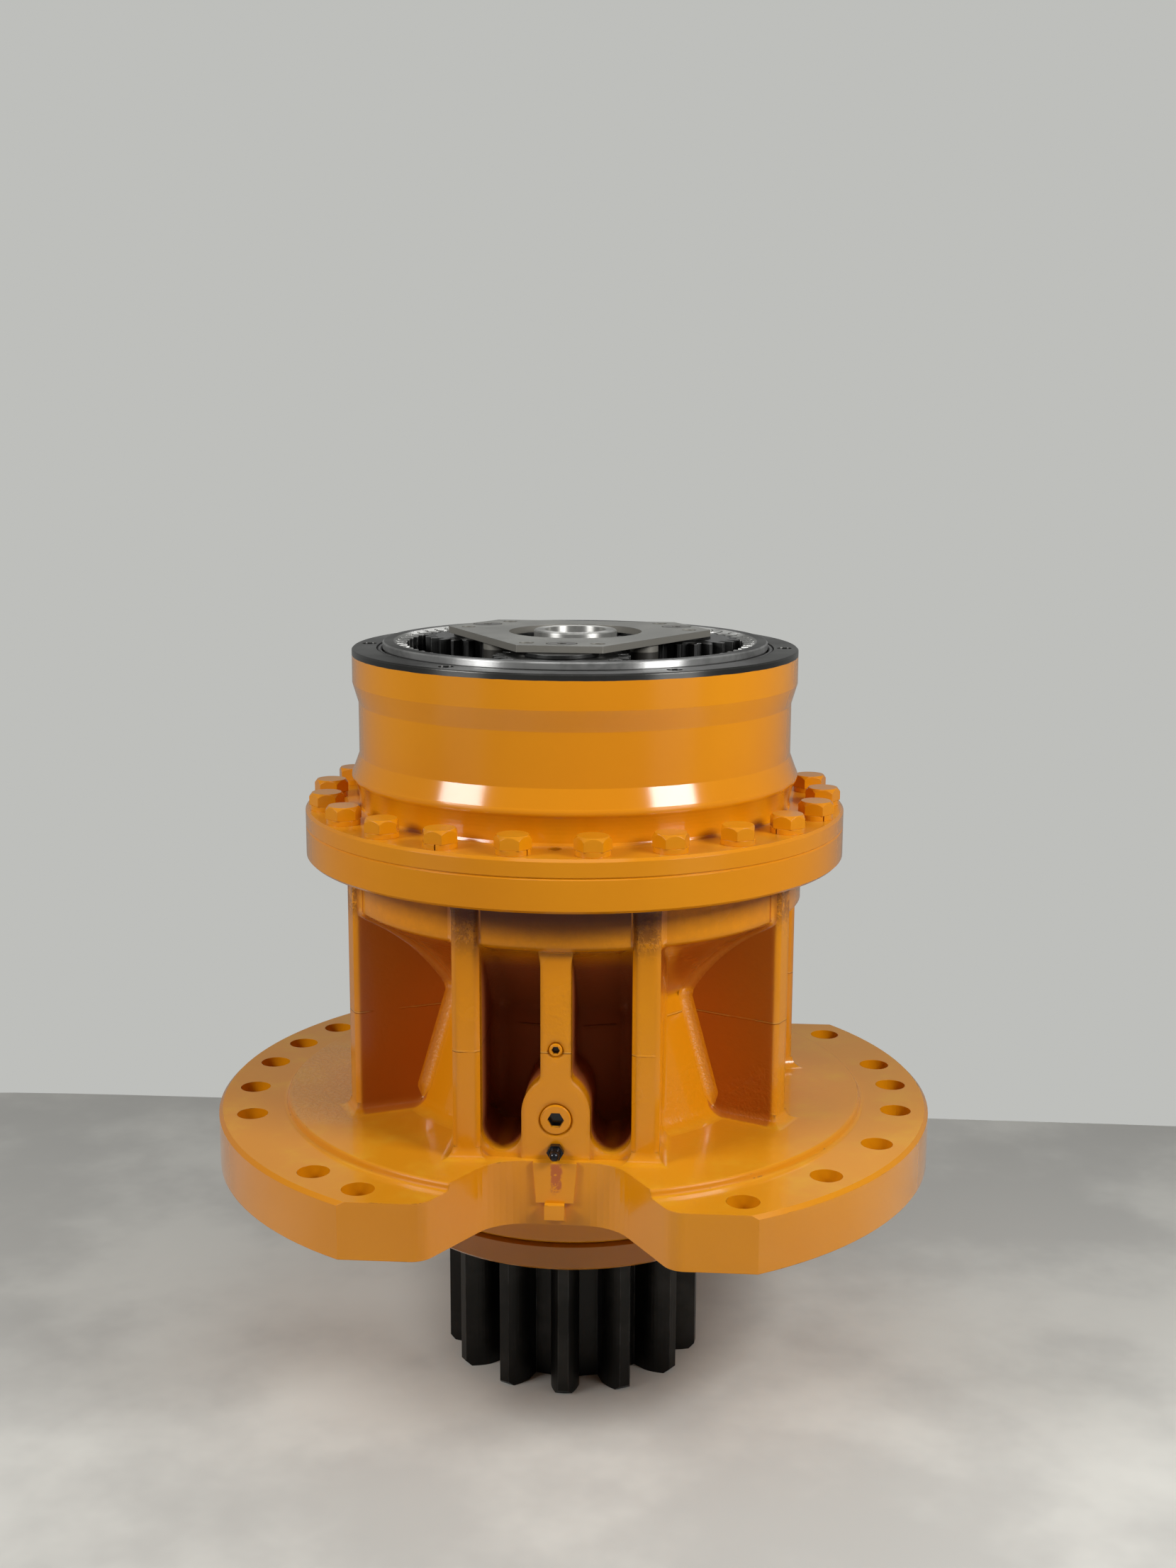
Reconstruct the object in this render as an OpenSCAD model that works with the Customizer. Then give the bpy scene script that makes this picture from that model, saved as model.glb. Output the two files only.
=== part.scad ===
// Swing gearbox of an excavator: a cast casing with a mounting flange, a bolted ring gear,
// two planetary stages that share the ring gear, and a drive pinion on the output shaft.
// The axis is Z. Z = 0 is the mounting face under the base flange, and the plug boss faces -Y.
// Angles run anticlockwise seen from above, from the boss direction.

/* [Base flange] */
// Radius of the round part of the base flange
base_r = 291.5; // [280:0.5:305]
// Thickness of the base flange
base_t = 44; // [30:1:60]
// Distance from the axis to the flat front edge
front_flat = 250; // [244:0.5:256]
// Distance from the axis to the flat rear edge
rear_flat = 183.5; // [175:0.5:190]
// Chamfer along the upper rim of the base flange
base_chamfer = 3; // [1:0.5:6]
// Distance from the round rim to the circle of the mounting holes
mount_edge = 26; // [22:0.5:30]
// Diameter of the mounting holes
mount_hole_d = 24.5; // [18:0.5:28]
// Height of the cast pad that carries the ribs
pad_h = 6; // [3:0.5:12]
// Radius of the cast pad
pad_r = 236; // [225:1:240]
// Distance from the axis to the floor of the front notch
notch_depth = 178.5; // [177:0.5:182]
// Width of the flat floor of the notch
notch_floor_w = 43; // [36:1:50]
// Radius of the hollow curves between the floor of the notch and its walls
notch_floor_r = 40; // [30:1:46]
// Angle between the walls of the notch and its floor
notch_slope = 58; // [52:1:64]
// Radius of the round corners where the notch meets the front edge
notch_corner_r = 18; // [10:1:24]

/* [Casing] */
// Height of the casing from the mounting face to the joint with the ring gear
casing_h = 274.5; // [260:0.5:300]
// Thickness of the casing's upper flange
top_flange_t = 25.5; // [18:0.5:30]
// Height of the band under the upper flange
band_h = 37; // [25:1:45]
// Radius of the band under the upper flange
band_r = 183.5; // [176:0.5:186]
// Height of the waist above the mounting face
waist_z = 147; // [140:1:155]
// Radius of the casing at its waist
waist_r = 107; // [106:0.5:112]
// Radius of the hollow curve between waist and band
cove_r = 160; // [90:5:300]
// Radius of the cone where it meets the pad
foot_r = 147; // [144:0.5:152]
// Radius to the back of the two pockets beside the boss
pocket_r = 112; // [110:1:116]
// Wall between the pockets and the space inside
pocket_wall = 15; // [12:1:17]
// Radius of the cast fillets at the feet of cone and ribs
cast_fillet = 12; // [4:1:14]
// Radius of the spigot under the flange
spigot_r = 145; // [140:0.5:150]
// Length of the spigot under the flange
spigot_h = 30; // [24:1:34]
// Radius of the chamber above the upper bearing
chamber_r = 146; // [138:0.5:148]
// Depth of the seat that takes the ring gear's collar
pilot_depth = 7; // [5:0.5:9]

/* [Ribs and boss] */
// Thickness of a rib
rib_t = 20.5; // [16:0.5:24]
// Radius to the outer edge of the ribs
rib_r = 189; // [185:0.5:194]
// Angle at which the outer edges of the two parallel ribs beside the boss stand
rib_angle_front = 20.6; // [19:0.2:22]
// Angle of the ribs at the sides
rib_angle_side = 63.5; // [58:0.5:70]
// Angle of the ribs behind the sides
rib_angle_rear = 108; // [100:1:115]
// Angle of the two rearmost ribs
rib_angle_back = 153; // [146:1:160]
// Distance from the axis to the flat face of the boss
boss_face = 174; // [172:0.5:175]
// Width of the boss around the lower plug
boss_w = 51; // [50:0.5:56]
// Width of the narrow part of the boss
boss_neck_w = 22.5; // [20:0.5:28]
// Height of the boss's straight sides above the pad
boss_h = 36; // [30:1:38]
// Radius of the boss's round shoulders
boss_shoulder_r = 30; // [22:1:32]
// Radius of the hollow curves between the shoulders and the narrow part
boss_neck_r = 8; // [6:1:12]
// Radius of the flare at the top of the narrow part
boss_flare_r = 43; // [36:1:50]
// Height of the web in the middle of the pockets' round floors
web_h = 4.5; // [2:0.5:8]

/* [Ring gear] */
// Height of the ring gear above the joint
ring_h = 139.5; // [130:0.5:150]
// Wall between the tooth roots and the plain outside
ring_wall = 29.8; // [26:0.2:34]
// Thickness of the ring gear's bolting flange
ring_flange_t = 14; // [10:0.5:20]
// Width of the bolting flange beyond the plain outside
ring_flange_w = 43.5; // [40:0.5:50]
// Outward step of the rounded belt near the flange
belt_out = 6.2; // [2:0.1:8]
// Height of the belt's crest above the bolting flange
belt_z = 25; // [22:1:30]
// Outward step of the plain collar at the top
collar_out = 4.7; // [2:0.1:6]
// Height of the collar at the top, with its chamfer
collar_h = 42.5; // [36:0.5:50]
// Height of the locating lip for the motor
lip_h = 5.3; // [3:0.1:8]
// Wall of the locating lip outside the tooth roots
lip_wall = 10.2; // [8:0.1:12]
// Width of the groove around the lip
lip_groove_w = 5; // [4:0.1:6]
// Radius of the circle of tapped holes for the motor
motor_hole_r = 166.3; // [164:0.1:170]
// Diameter of the tapped holes for the motor
motor_hole_d = 12; // [8:0.5:14]
// Depth of the tapped holes for the motor
motor_hole_depth = 26; // [20:1:32]

/* [Gear train] */
// Module of the planetary gears
train_module = 4; // [3.8:0.1:4]
// Teeth of each sun gear, in steps that keep three planets evenly spaced
sun_teeth = 21; // [18:3:24]
// Teeth of each planet gear, in steps that keep three planets evenly spaced
planet_teeth = 24; // [21:3:24]
// Face width of the lower planets
lower_planet_w = 62; // [50:1:66]
// Face width of the upper planets
upper_planet_w = 30; // [24:1:36]
// Radius of the lower planet pins
lower_pin_r = 19; // [14:0.5:22]
// Radius of the upper planet pins
upper_pin_r = 12; // [10:0.5:16]
// Diameter of the needle rollers in the lower planets
lower_needle_d = 6; // [4:0.5:7]
// Diameter of the needle rollers in the upper planets
upper_needle_d = 4; // [3:0.5:6]
// Thickness of the thrust washers beside the planets
washer_t = 3; // [2:0.5:4]
// Thickness of the lower carrier's bottom plate
lower_plate_t = 24; // [20:1:28]
// Thickness of the lower carrier's top plate
lower_cover_t = 9; // [6:0.5:12]
// Radius of the lower carrier
lower_carrier_r = 124; // [120:1:126]
// Thickness of the upper carrier's bottom plate
upper_plate_t = 12; // [9:0.5:16]
// Thickness of the upper carrier's three-sided top plate
upper_cover_t = 5.4; // [4:0.2:9]
// Distance from the axis to the short edges of the three-sided plate
cover_edge = 104.5; // [102:0.5:112]
// Length of the short edges of the three-sided plate
cover_short = 65; // [58:1:70]
// Radius of the hole in the three-sided plate
cover_hole_r = 53; // [50:0.5:55]
// Diameter of the small holes beside the upper pins
cover_small_d = 12; // [8:0.5:14]
// Angle of the upper pins from the boss direction
upper_angle = -2; // [-10:1:10]
// Angle of the lower pins from the boss direction
lower_angle = 60; // [50:1:70]
// Radius of the upper sun gear's collar
sun_collar_r = 33; // [31:0.5:36]
// Height of the upper sun gear's collar
sun_collar_h = 9.5; // [6:0.5:14]
// Radius of the motor shaft's bore in the upper sun gear
motor_bore_r = 24.5; // [23:0.5:26]

/* [Output shaft] */
// Teeth of the output pinion
pinion_teeth = 13; // [11:1:15]
// Module of the output pinion
pinion_module = 14; // [12:0.5:14]
// Length of the pinion teeth
pinion_w = 119; // [100:1:130]
// Distance from the mounting face down to the upper end of the teeth
pinion_drop = 60; // [58:1:66]
// Radius of the shaft under the oil seal
seal_journal_r = 80; // [78:0.5:84]
// Radius of the shaft in the lower bearing
lower_seat_r = 72.5; // [70:0.5:75]
// Radius of the shaft between the bearings
middle_r = 66; // [63:0.5:68]
// Radius of the shaft in the upper bearing
upper_seat_r = 60; // [57:0.5:61]
// Height of the shaft's upper end above the joint of casing and ring gear
shaft_over = 13.5; // [10:0.5:20]
// Teeth of the spline between shaft and lower carrier
spline_teeth = 42; // [38:1:42]
// Module of the spline between shaft and lower carrier
spline_module = 2.5; // [2:0.1:2.5]
// Length of the lower carrier's hub under its plate
hub_h = 52; // [40:1:58]

/* [Bearings and seals] */
// Outer radius of the lower bearing
lower_bearing_r = 120; // [116:0.5:122]
// Width of the lower bearing
lower_bearing_w = 62; // [54:1:64]
// Depth of the lower bearing's seat below the mounting face
lower_bearing_drop = 22; // [18:1:26]
// Outer radius of the upper bearing
upper_bearing_r = 92; // [90:0.5:94]
// Width of the upper bearing
upper_bearing_w = 44; // [38:1:46]
// Height of the upper bearing's lower face above the mounting face
upper_bearing_z = 120; // [116:1:124]
// Thickness of the bearing rings
race_t = 12; // [9:0.5:13]
// Number of rollers in each main bearing
roller_count = 18; // [12:1:20]
// Thickness of the retainer under the lower bearing
retainer_t = 21; // [18:0.5:26]
// Outer radius of the oil seal
seal_r = 98; // [96:0.5:104]
// Thickness of the shaft nut
nut_t = 17; // [12:1:20]

/* [Fasteners and fittings] */
// Number of bolts around the joint, with the boss midway between two of them
bolt_count = 22; // [16:2:22]
// Diameter of the joint bolts
bolt_d = 16; // [12:1:17]
// Width across the flats of the bolt heads
bolt_af = 24; // [20:1:26]
// Height of the bolt heads
bolt_head_h = 10; // [8:0.5:12]
// Length of the bolts under the head
bolt_len = 40; // [34:1:42]
// Distance from the rim of the flange to the bolt circle
bolt_edge = 16.5; // [14:0.5:18]
// Thickness of the spring washers
spring_t = 4; // [3:0.5:5]
// Outer diameter of the spring washers
spring_d = 26; // [24:0.5:27]
// Number of screws that hold the retainer
retainer_screws = 10; // [6:1:12]
// Diameter of the retainer screws
retainer_screw_d = 10; // [8:1:12]
// Diameter of the drain plug
drain_d = 23; // [19:0.5:26]
// Height of the drain plug above the mounting face
drain_z = 81; // [78:1:84]
// Diameter of the level plug
level_d = 10; // [8:0.5:14]
// Height of the level plug above the mounting face
level_z = 135; // [128:1:142]
// Diameter of the grease nipple's hexagon
nipple_d = 13.5; // [8:0.5:14]

/* [Clearances] */
// Clearance of a seated or bolted fit, on the radius
fit = 0.1; // [0.05:0.05:0.2]
// Running gap between turning faces
run = 0.3; // [0.2:0.05:0.4]
// Backlash between meshing teeth
backlash = 0.4; // [0.3:0.05:0.6]

/* [Hidden] */
$fn = 96;
pressure_angle = 20;
mount_r = base_r - mount_edge;
ring_teeth = sun_teeth + 2 * planet_teeth;
ring_root_r = train_module * (ring_teeth / 2 + 1.25);
ring_tip_r = train_module * (ring_teeth / 2 - 1);
skirt_r = ring_root_r + ring_wall;
flange_r = skirt_r + ring_flange_w;
bolt_r = flange_r - bolt_edge;
lip_r = ring_root_r + lip_wall;
carrier_r = train_module * (sun_teeth + planet_teeth) / 2;
planet_tip_r = train_module * (planet_teeth / 2 + 1);
sun_tip_r = train_module * (sun_teeth / 2 + 1);
sun_root_r = train_module * (sun_teeth / 2 - 1.25);

// Forms of the casing
rib_fillet = cast_fillet * 0.7;
rib_edge = rib_t * 0.12;
rib_x = rib_r * sin(rib_angle_front);
pad_z = base_t + pad_h;
flange_z = casing_h - top_flange_t;
band_z = flange_z - band_h;
ring_top_z = casing_h + ring_h;
lip_z = ring_top_z + lip_h;
pilot_r = lip_r - 3;

// Chamfer at the joint, the boss with its flare and the space behind it
seam = 1;
web_back = 2;
flare_h = 15;
core_r = upper_bearing_r - 12;

// Raised panel and cast lug on the floor of the notch
panel_t = 3;
panel_w = 33;
panel_taper = 2.5;
lug_w = 15;
lug_z = 6;
lug_h = 12.5;
lug_t = 8;

// Hollow under the ring gear's belt, slopes above it and under the collar, relief below its lip
belt_hollow_r = 45;
belt_taper = 17;
collar_taper = 16;
lip_relief = 1;

// Heights of the gear train, from the top of the shaft upwards
stage_gap = 5;
lower_pin_seat = 4;
upper_pin_seat = 2;
shaft_z = casing_h + shaft_over;
lower_plate_z = shaft_z - lower_plate_t;
lower_planet_z = shaft_z + 2 * run + washer_t;
lower_cover_z = lower_planet_z + lower_planet_w + 2 * run + washer_t;
upper_plate_z = lower_cover_z + lower_cover_t + stage_gap;
upper_planet_z = upper_plate_z + upper_plate_t + 2 * run + washer_t;
upper_cover_z = upper_planet_z + upper_planet_w + 2 * run + washer_t;
train_z = upper_cover_z + upper_cover_t;
sun_disc_t = 3;
lower_sun_z = shaft_z + 2 * run + sun_disc_t;
upper_sun_z = upper_planet_z + 1;
lower_sun_h = upper_sun_z - 2 * run - sun_disc_t - lower_sun_z;
upper_sun_h = upper_planet_w;

// Splines: the one that carries the lower carrier, and the one that takes the motor's shaft
spline_tip_r = spline_module * (spline_teeth / 2 + 1);
spline_root_r = spline_module * (spline_teeth / 2 - 1.25);
motor_spline_module = 2;
motor_spline_teeth = 22;
motor_spline_r = motor_spline_module * motor_spline_teeth / 2;

// Grooves and rings that lock the lower carrier and the lower sun gear
ring_groove_w = 3;
ring_groove_z = shaft_z - 5;
sun_groove_w = 2.2;
sun_groove_z = upper_plate_z + upper_plate_t;

// Heights of the shaft and its bearings
pinion_z = -pinion_drop - pinion_w;
lower_bearing_z = -lower_bearing_drop;
retainer_gap = 1.5;
retainer_z = -spigot_h - retainer_gap - retainer_t;
nut_z = upper_bearing_z + upper_bearing_w + 2 + 2 * fit;
hub_z = lower_plate_z - hub_h;
lower_roller_r = (lower_bearing_r - fit - lower_seat_r - 2 * race_t) / 2 - fit;
lower_roller_pitch = (lower_bearing_r + lower_seat_r) / 2;
upper_roller_r = (upper_bearing_r - fit - upper_seat_r - 2 * race_t) / 2 - fit;
upper_roller_pitch = (upper_bearing_r + upper_seat_r) / 2;

bolt_angles = [for (i = [0 : bolt_count - 1]) (i + 0.5) * 360 / bolt_count];
screw_angles = [for (i = [0 : retainer_screws - 1]) (i + 0.5) * 360 / retainer_screws];
screw_circle_r = (spigot_r + lower_bearing_r) / 2;
screw_head_d = retainer_screw_d * 1.5;
screw_reach = 20;
spring_slit = 1;
plug_depth = 14;
passage_d = 12;
level_depth = 10;
level_passage_d = 6;
stud_d = nipple_d / 2;
dowel_angles = [0, 180];
dowel_d = 10;
dowel_depth = 11;
dowel_r = skirt_r + 9;
motor_angles = [30, 90, 150, 210, 270, 330];
mount_angles = [31.5, 49, 66, 82.5, 95.5, 106.5, 125.5, -31.5, -42, -71.5, -85, -98.5, -110, -121];
rib_angles = [for (a = [rib_angle_side, rib_angle_rear, rib_angle_back], s = [-1, 1]) s * a];
upper_pins = [for (k = [0 : 2]) upper_angle + 120 * k];
lower_pins = [for (k = [0 : 2]) lower_angle + 120 * k];

paint = [0.90, 0.60, 0.06];
steel = [0.62, 0.63, 0.63];
dark_steel = [0.28, 0.28, 0.29];
black_steel = [0.14, 0.14, 0.15];
rubber = [0.08, 0.08, 0.08];
bronze = [0.66, 0.50, 0.26];

// Places its children at an angle from the boss direction and a radius
module at(angle, radius, z = 0) {
    rotate([0, 0, angle]) translate([0, -radius, z]) children();
}

// A tube between two heights
module tube(r_out, r_in, z0, z1) {
    translate([0, 0, z0]) difference() {
        cylinder(r = r_out, h = z1 - z0);
        translate([0, 0, -1]) cylinder(r = r_in, h = z1 - z0 + 2);
    }
}

// A tube with its four rims chamfered
module race(r_out, r_in, z0, z1, c = 1.5) {
    rotate_extrude() polygon([[r_in + c, z0], [r_out - c, z0], [r_out, z0 + c], [r_out, z1 - c],
        [r_out - c, z1], [r_in + c, z1], [r_in, z1 - c], [r_in, z0 + c]]);
}

// Points of an arc from p to q. Its centre lies to the right of the way there, or for a
// negative radius to the left.
function arc(p, q, r, n = 6) =
    let (d = norm(q - p), rr = max(abs(r), d / 2 + 0.01), h = sqrt(rr * rr - d * d / 4), side = sign(r),
        m = (p + q) / 2, u = (q - p) / d, c = m + side * [u[1], -u[0]] * h,
        a0 = atan2(p[1] - c[1], p[0] - c[0]), sweep = -side * 2 * asin(d / 2 / rr))
    [for (i = [0 : n]) c + rr * [cos(a0 + sweep * i / n), sin(a0 + sweep * i / n)]];

// Involute of an angle, in degrees
function involute(a) = tan(a) * 180 / PI - a;

// Half the angle that a tooth takes up at radius r
function half_tooth(m, z, r, play) =
    let (pitch_r = m * z / 2, base = pitch_r * cos(pressure_angle), a = acos(min(1, base / max(r, base))))
    90 / z + involute(pressure_angle) - involute(a) - play / 2 / pitch_r * 180 / PI;

// Outline of a gear with a tooth at -Y. A negative play widens the teeth, for a cut-out.
function gear(m, z, r_root, r_tip, play, n = 4) =
    let (base = m * z / 2 * cos(pressure_angle), r0 = max(r_root, min(base, r_tip - 0.5)),
        flank = concat([[r_root, r0]], [for (k = [0 : n]) let (r = r0 + (r_tip - r0) * k / n) [r, r]]),
        first = r_root < r0 ? 0 : 1, last = n + 1)
    [for (i = [0 : z - 1], s = [-1, 1], j = [first : last])
        let (p = flank[s < 0 ? j : last + first - j], a = i * 360 / z + s * half_tooth(m, z, p[1], play) - 90)
        p[0] * [cos(a), sin(a)]];

// Turn of a planet's teeth that fits the ring gear, for a pin at the given angle
function planet_turn(angle) = -ring_teeth / planet_teeth * angle;

// Turn of a sun's teeth that fits its planets, for a first pin at the given angle
function sun_turn(angle) =
    ((sun_teeth + ring_teeth) * angle + 180 * (planet_teeth - 1)) / sun_teeth;

// Plan of the base flange without its round rim, with the notch in its front edge
module base_plan() {
    side = notch_side();
    polygon(concat([[-base_r, rear_flat], [-base_r, -front_flat]],
        [for (i = [len(side) - 1 : -1 : 0]) [-side[i][0], side[i][1]]], side,
        [[base_r, -front_flat], [base_r, rear_flat]]));
}

// Right side of the notch from its floor outwards: hollow curve, wall and round corner
function notch_side(n = 8) =
    let (floor_c = [notch_floor_w / 2, -notch_depth - notch_floor_r], corner_y = notch_corner_r - front_flat,
        wall = floor_c + notch_floor_r * [sin(notch_slope), cos(notch_slope)],
        end_y = corner_y - notch_corner_r * cos(notch_slope),
        end_x = wall[0] + (wall[1] - end_y) / tan(notch_slope),
        corner_c = [end_x + notch_corner_r * sin(notch_slope), corner_y])
    concat([for (i = [0 : n]) let (a = notch_slope * i / n) floor_c + notch_floor_r * [sin(a), cos(a)]],
        [for (i = [n : -1 : 0]) let (a = notch_slope * i / n) corner_c - notch_corner_r * [sin(a), cos(a)]]);

// Round disc of the base flange with its cast pad, as a profile turned about the axis
module base_profile() {
    polygon([[0, 0], [base_r, 0], [base_r, base_t - base_chamfer], [base_r - base_chamfer, base_t],
        [pad_r + 3, base_t], [pad_r + 0.8, base_t + 1], [pad_r, pad_z - 1.5], [pad_r - 1.5, pad_z],
        [0, pad_z]]);
}

// Outside of the casing above the pad: cone, waist, hollow curve, band and flange
module body_profile() {
    cone_end = [foot_r - cast_fillet, pad_z + cast_fillet * 0.6];
    polygon(concat([[0, pad_z - 1], [foot_r + 4, pad_z - 1]],
        arc([foot_r + 4, pad_z], cone_end, cast_fillet + 6, 6),
        arc([waist_r, waist_z], [band_r - 3, band_z], cove_r, 14),
        [[band_r, band_z + 3], [band_r, flange_z - 5], [band_r + 4, flange_z],
        [flange_r - 2, flange_z], [flange_r, flange_z + 2], [flange_r, casing_h - seam],
        [flange_r - seam, casing_h], [0, casing_h]]));
}

// Body of the casing, cut back between the two front ribs for the pockets beside the boss
module body() {
    reach = 2 * foot_r;
    difference() {
        rotate_extrude($fn = 128) body_profile();
        difference() {
            translate([-rib_x, -reach, pad_z]) cube([2 * rib_x, reach, waist_z - pad_z]);
            cylinder(r = pocket_r, h = casing_h);
        }
    }
}

// Chambers inside the casing: bearing seats, the space between them and the gear chamber
module cavity_profile() {
    lower_top = lower_bearing_z + lower_bearing_w;
    shoulder_r = lower_bearing_r - race_t + 2;
    neck_r = pocket_r - pocket_wall;
    seat_low = upper_bearing_z - 6;
    seat_top = upper_bearing_z + upper_bearing_w;
    polygon([[0, -spigot_h - 1], [lower_bearing_r, -spigot_h - 1], [lower_bearing_r, lower_top],
        [shoulder_r, lower_top], [neck_r, lower_top + shoulder_r - neck_r],
        [upper_bearing_r, seat_low - 12], [upper_bearing_r - 8, seat_low],
        [upper_bearing_r - 8, upper_bearing_z], [upper_bearing_r, upper_bearing_z],
        [upper_bearing_r, seat_top + 2], [upper_bearing_r + 4, seat_top + 4],
        [chamber_r, seat_top + chamber_r - upper_bearing_r - 4], [chamber_r, casing_h - pilot_depth],
        [pilot_r, casing_h - pilot_depth], [pilot_r, casing_h - 4], [pilot_r + 4, casing_h - 4],
        [pilot_r + 4, casing_h + 1], [0, casing_h + 1]]);
}

// Hollow beside the straight edge of a rib, with its fillets at the pad and under the flange
module rib_hollow() {
    translate([0, pad_z + rib_fillet]) square([rib_fillet + 1, flange_z - pad_z - 2 * rib_fillet]);
    for (z = [pad_z + rib_fillet, flange_z - rib_fillet]) {
        translate([rib_fillet, z]) circle(r = rib_fillet);
    }
}

// One rib seen from outside
module rib_front() {
    half = rib_t / 2 + rib_fillet;
    difference() {
        translate([-half, pad_z - 1]) square([2 * half, flange_z - pad_z + 2]);
        translate([rib_t / 2, 0]) rib_hollow();
        translate([-rib_t / 2, 0]) mirror([1, 0]) rib_hollow();
    }
}

// The same rib seen from the side
module rib_side() {
    difference() {
        translate([0, pad_z - 1]) square([rib_r + rib_fillet, flange_z - pad_z + 2]);
        translate([rib_r, 0]) rib_hollow();
    }
}

// A rib with its two outer edges broken between the fillets
module rib() {
    half = rib_t / 2 + cast_fillet;
    difference() {
        intersection() {
            rotate([90, 0, 0]) linear_extrude(rib_r + cast_fillet) rib_front();
            translate([-half, 0, 0]) rotate([90, 0, -90]) mirror([0, 0, 1]) linear_extrude(2 * half)
                rib_side();
        }
        for (s = [-1, 1]) {
            translate([s * rib_t / 2, -rib_r, pad_z + rib_fillet]) rotate([0, 0, 45])
                translate([-rib_edge, -rib_edge, 0])
                    cube([2 * rib_edge, 2 * rib_edge, flange_z - pad_z - 2 * rib_fillet]);
        }
    }
}

// Right side of the boss seen from the front: straight side, round shoulder, hollow curve, narrow
// part and the flare under the band
function boss_side(n = 8) =
    let (half = boss_w / 2, neck = boss_neck_w / 2, sum = boss_shoulder_r + boss_neck_r,
        turn = acos((sum - half + neck) / sum), z1 = pad_z + boss_h, z2 = z1 + sum * sin(turn),
        z3 = band_z - flare_h, flare = asin((flare_h + 2) / boss_flare_r))
    concat([[half, pad_z - 1]],
        [for (i = [0 : n]) let (a = turn * i / n)
            [half - boss_shoulder_r + boss_shoulder_r * cos(a), z1 + boss_shoulder_r * sin(a)]],
        [for (i = [n - 1 : -1 : 0]) let (a = turn * i / n)
            [neck + boss_neck_r - boss_neck_r * cos(a), z2 - boss_neck_r * sin(a)]],
        [for (i = [0 : n]) let (a = flare * i / n)
            [neck + boss_flare_r - boss_flare_r * cos(a), z3 + boss_flare_r * sin(a)]]);

// Boss with the plugs, seen from the front
module boss_front() {
    side = boss_side();
    polygon(concat(side, [for (i = [len(side) - 1 : -1 : 0]) [-side[i][0], side[i][1]]]));
}

// Web between the boss and the ribs beside it, with the round floors of the two pockets
module boss_web() {
    inner = boss_w / 2;
    outer = rib_x - rib_t / 2;
    r = (outer - inner) / 2;
    for (s = [-1, 1]) {
        difference() {
            translate([s * (inner + r) - r - 2, pad_z - 1]) square([2 * r + 4, r + web_h + 1]);
            translate([s * (inner + r), pad_z + r + web_h]) circle(r = r);
        }
    }
}

// Bore of a plug in the boss: the thread, the passage behind it and the countersink
module plug_bore(d, passage, depth) {
    rotate([-90, 0, 0]) {
        translate([0, 0, -boss_face - 5]) cylinder(d = d + 2 * fit, h = depth + 5);
        translate([0, 0, -boss_face + 1]) cylinder(d = passage, h = boss_face - upper_bearing_r + 8);
        translate([0, 0, -boss_face - 1]) cylinder(d1 = d + 5, d2 = d, h = 2.5);
    }
}

// Casing before the bores
module casing_outside() {
    intersection() {
        rotate_extrude() base_profile();
        linear_extrude(pad_z + 1) base_plan();
    }
    body();
    for (s = [-1, 1]) {
        translate([s * rib_x, rib_r - rib_r * cos(rib_angle_front), 0]) rib();
    }
    for (a = rib_angles) {
        rotate([0, 0, a]) rib();
    }
    translate([0, -core_r, 0]) rotate([90, 0, 0]) linear_extrude(boss_face - core_r) boss_front();
    translate([0, -core_r, 0]) rotate([90, 0, 0]) linear_extrude(boss_face - web_back - core_r) boss_web();
    notch_panel();
    notch_lug();
    translate([0, 0, -spigot_h]) cylinder(r1 = spigot_r - 1.5, r2 = spigot_r, h = 1.5);
    translate([0, 0, 1.5 - spigot_h]) cylinder(r = spigot_r, h = spigot_h);
}

// Raised panel on the floor of the notch, under the boss
module notch_panel() {
    top = panel_w / 2;
    translate([0, 2 - notch_depth, 0]) rotate([90, 0, 0]) linear_extrude(panel_t + 2)
        polygon([[panel_taper - top, lug_z + lug_h], [top - panel_taper, lug_z + lug_h], [top, pad_z],
            [-top, pad_z]]);
}

// Small cast lug under the panel
module notch_lug() {
    half = lug_w / 2;
    translate([-half, 0, 0]) rotate([90, 0, 90]) linear_extrude(lug_w)
        polygon([[2 - notch_depth, lug_z - 3], [-notch_depth, lug_z - 3], [-notch_depth - lug_t, lug_z + 1],
            [-notch_depth - lug_t, lug_z + lug_h], [2 - notch_depth, lug_z + lug_h]]);
}

module casing() {
    color(paint) difference() {
        casing_outside();
        rotate_extrude() cavity_profile();
        for (a = mount_angles) {
            at(a, mount_r, -1) cylinder(d = mount_hole_d, h = base_t + 2);
        }
        for (a = bolt_angles) {
            at(a, bolt_r, casing_h + ring_flange_t + spring_t - bolt_len - 3)
                cylinder(d = bolt_d + 2 * fit, h = bolt_len);
        }
        for (a = dowel_angles) {
            at(a, dowel_r, casing_h - dowel_depth - 1)
                cylinder(d = dowel_d + 2 * fit, h = dowel_depth + 2);
        }
        for (a = screw_angles) {
            at(a, screw_circle_r, -spigot_h - 1)
                cylinder(d = retainer_screw_d + 2 * fit, h = screw_reach + 5, $fn = 32);
        }
        translate([0, 0, drain_z]) plug_bore(drain_d, passage_d, plug_depth);
        translate([0, 0, level_z]) plug_bore(level_d, level_passage_d, level_depth);
        translate([0, -boss_face - 1, pad_z + nipple_d / 2]) rotate([-90, 0, 0])
            cylinder(d = stud_d + 2 * fit, h = boss_face - upper_bearing_r + 4, $fn = 32);
    }
}

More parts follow.
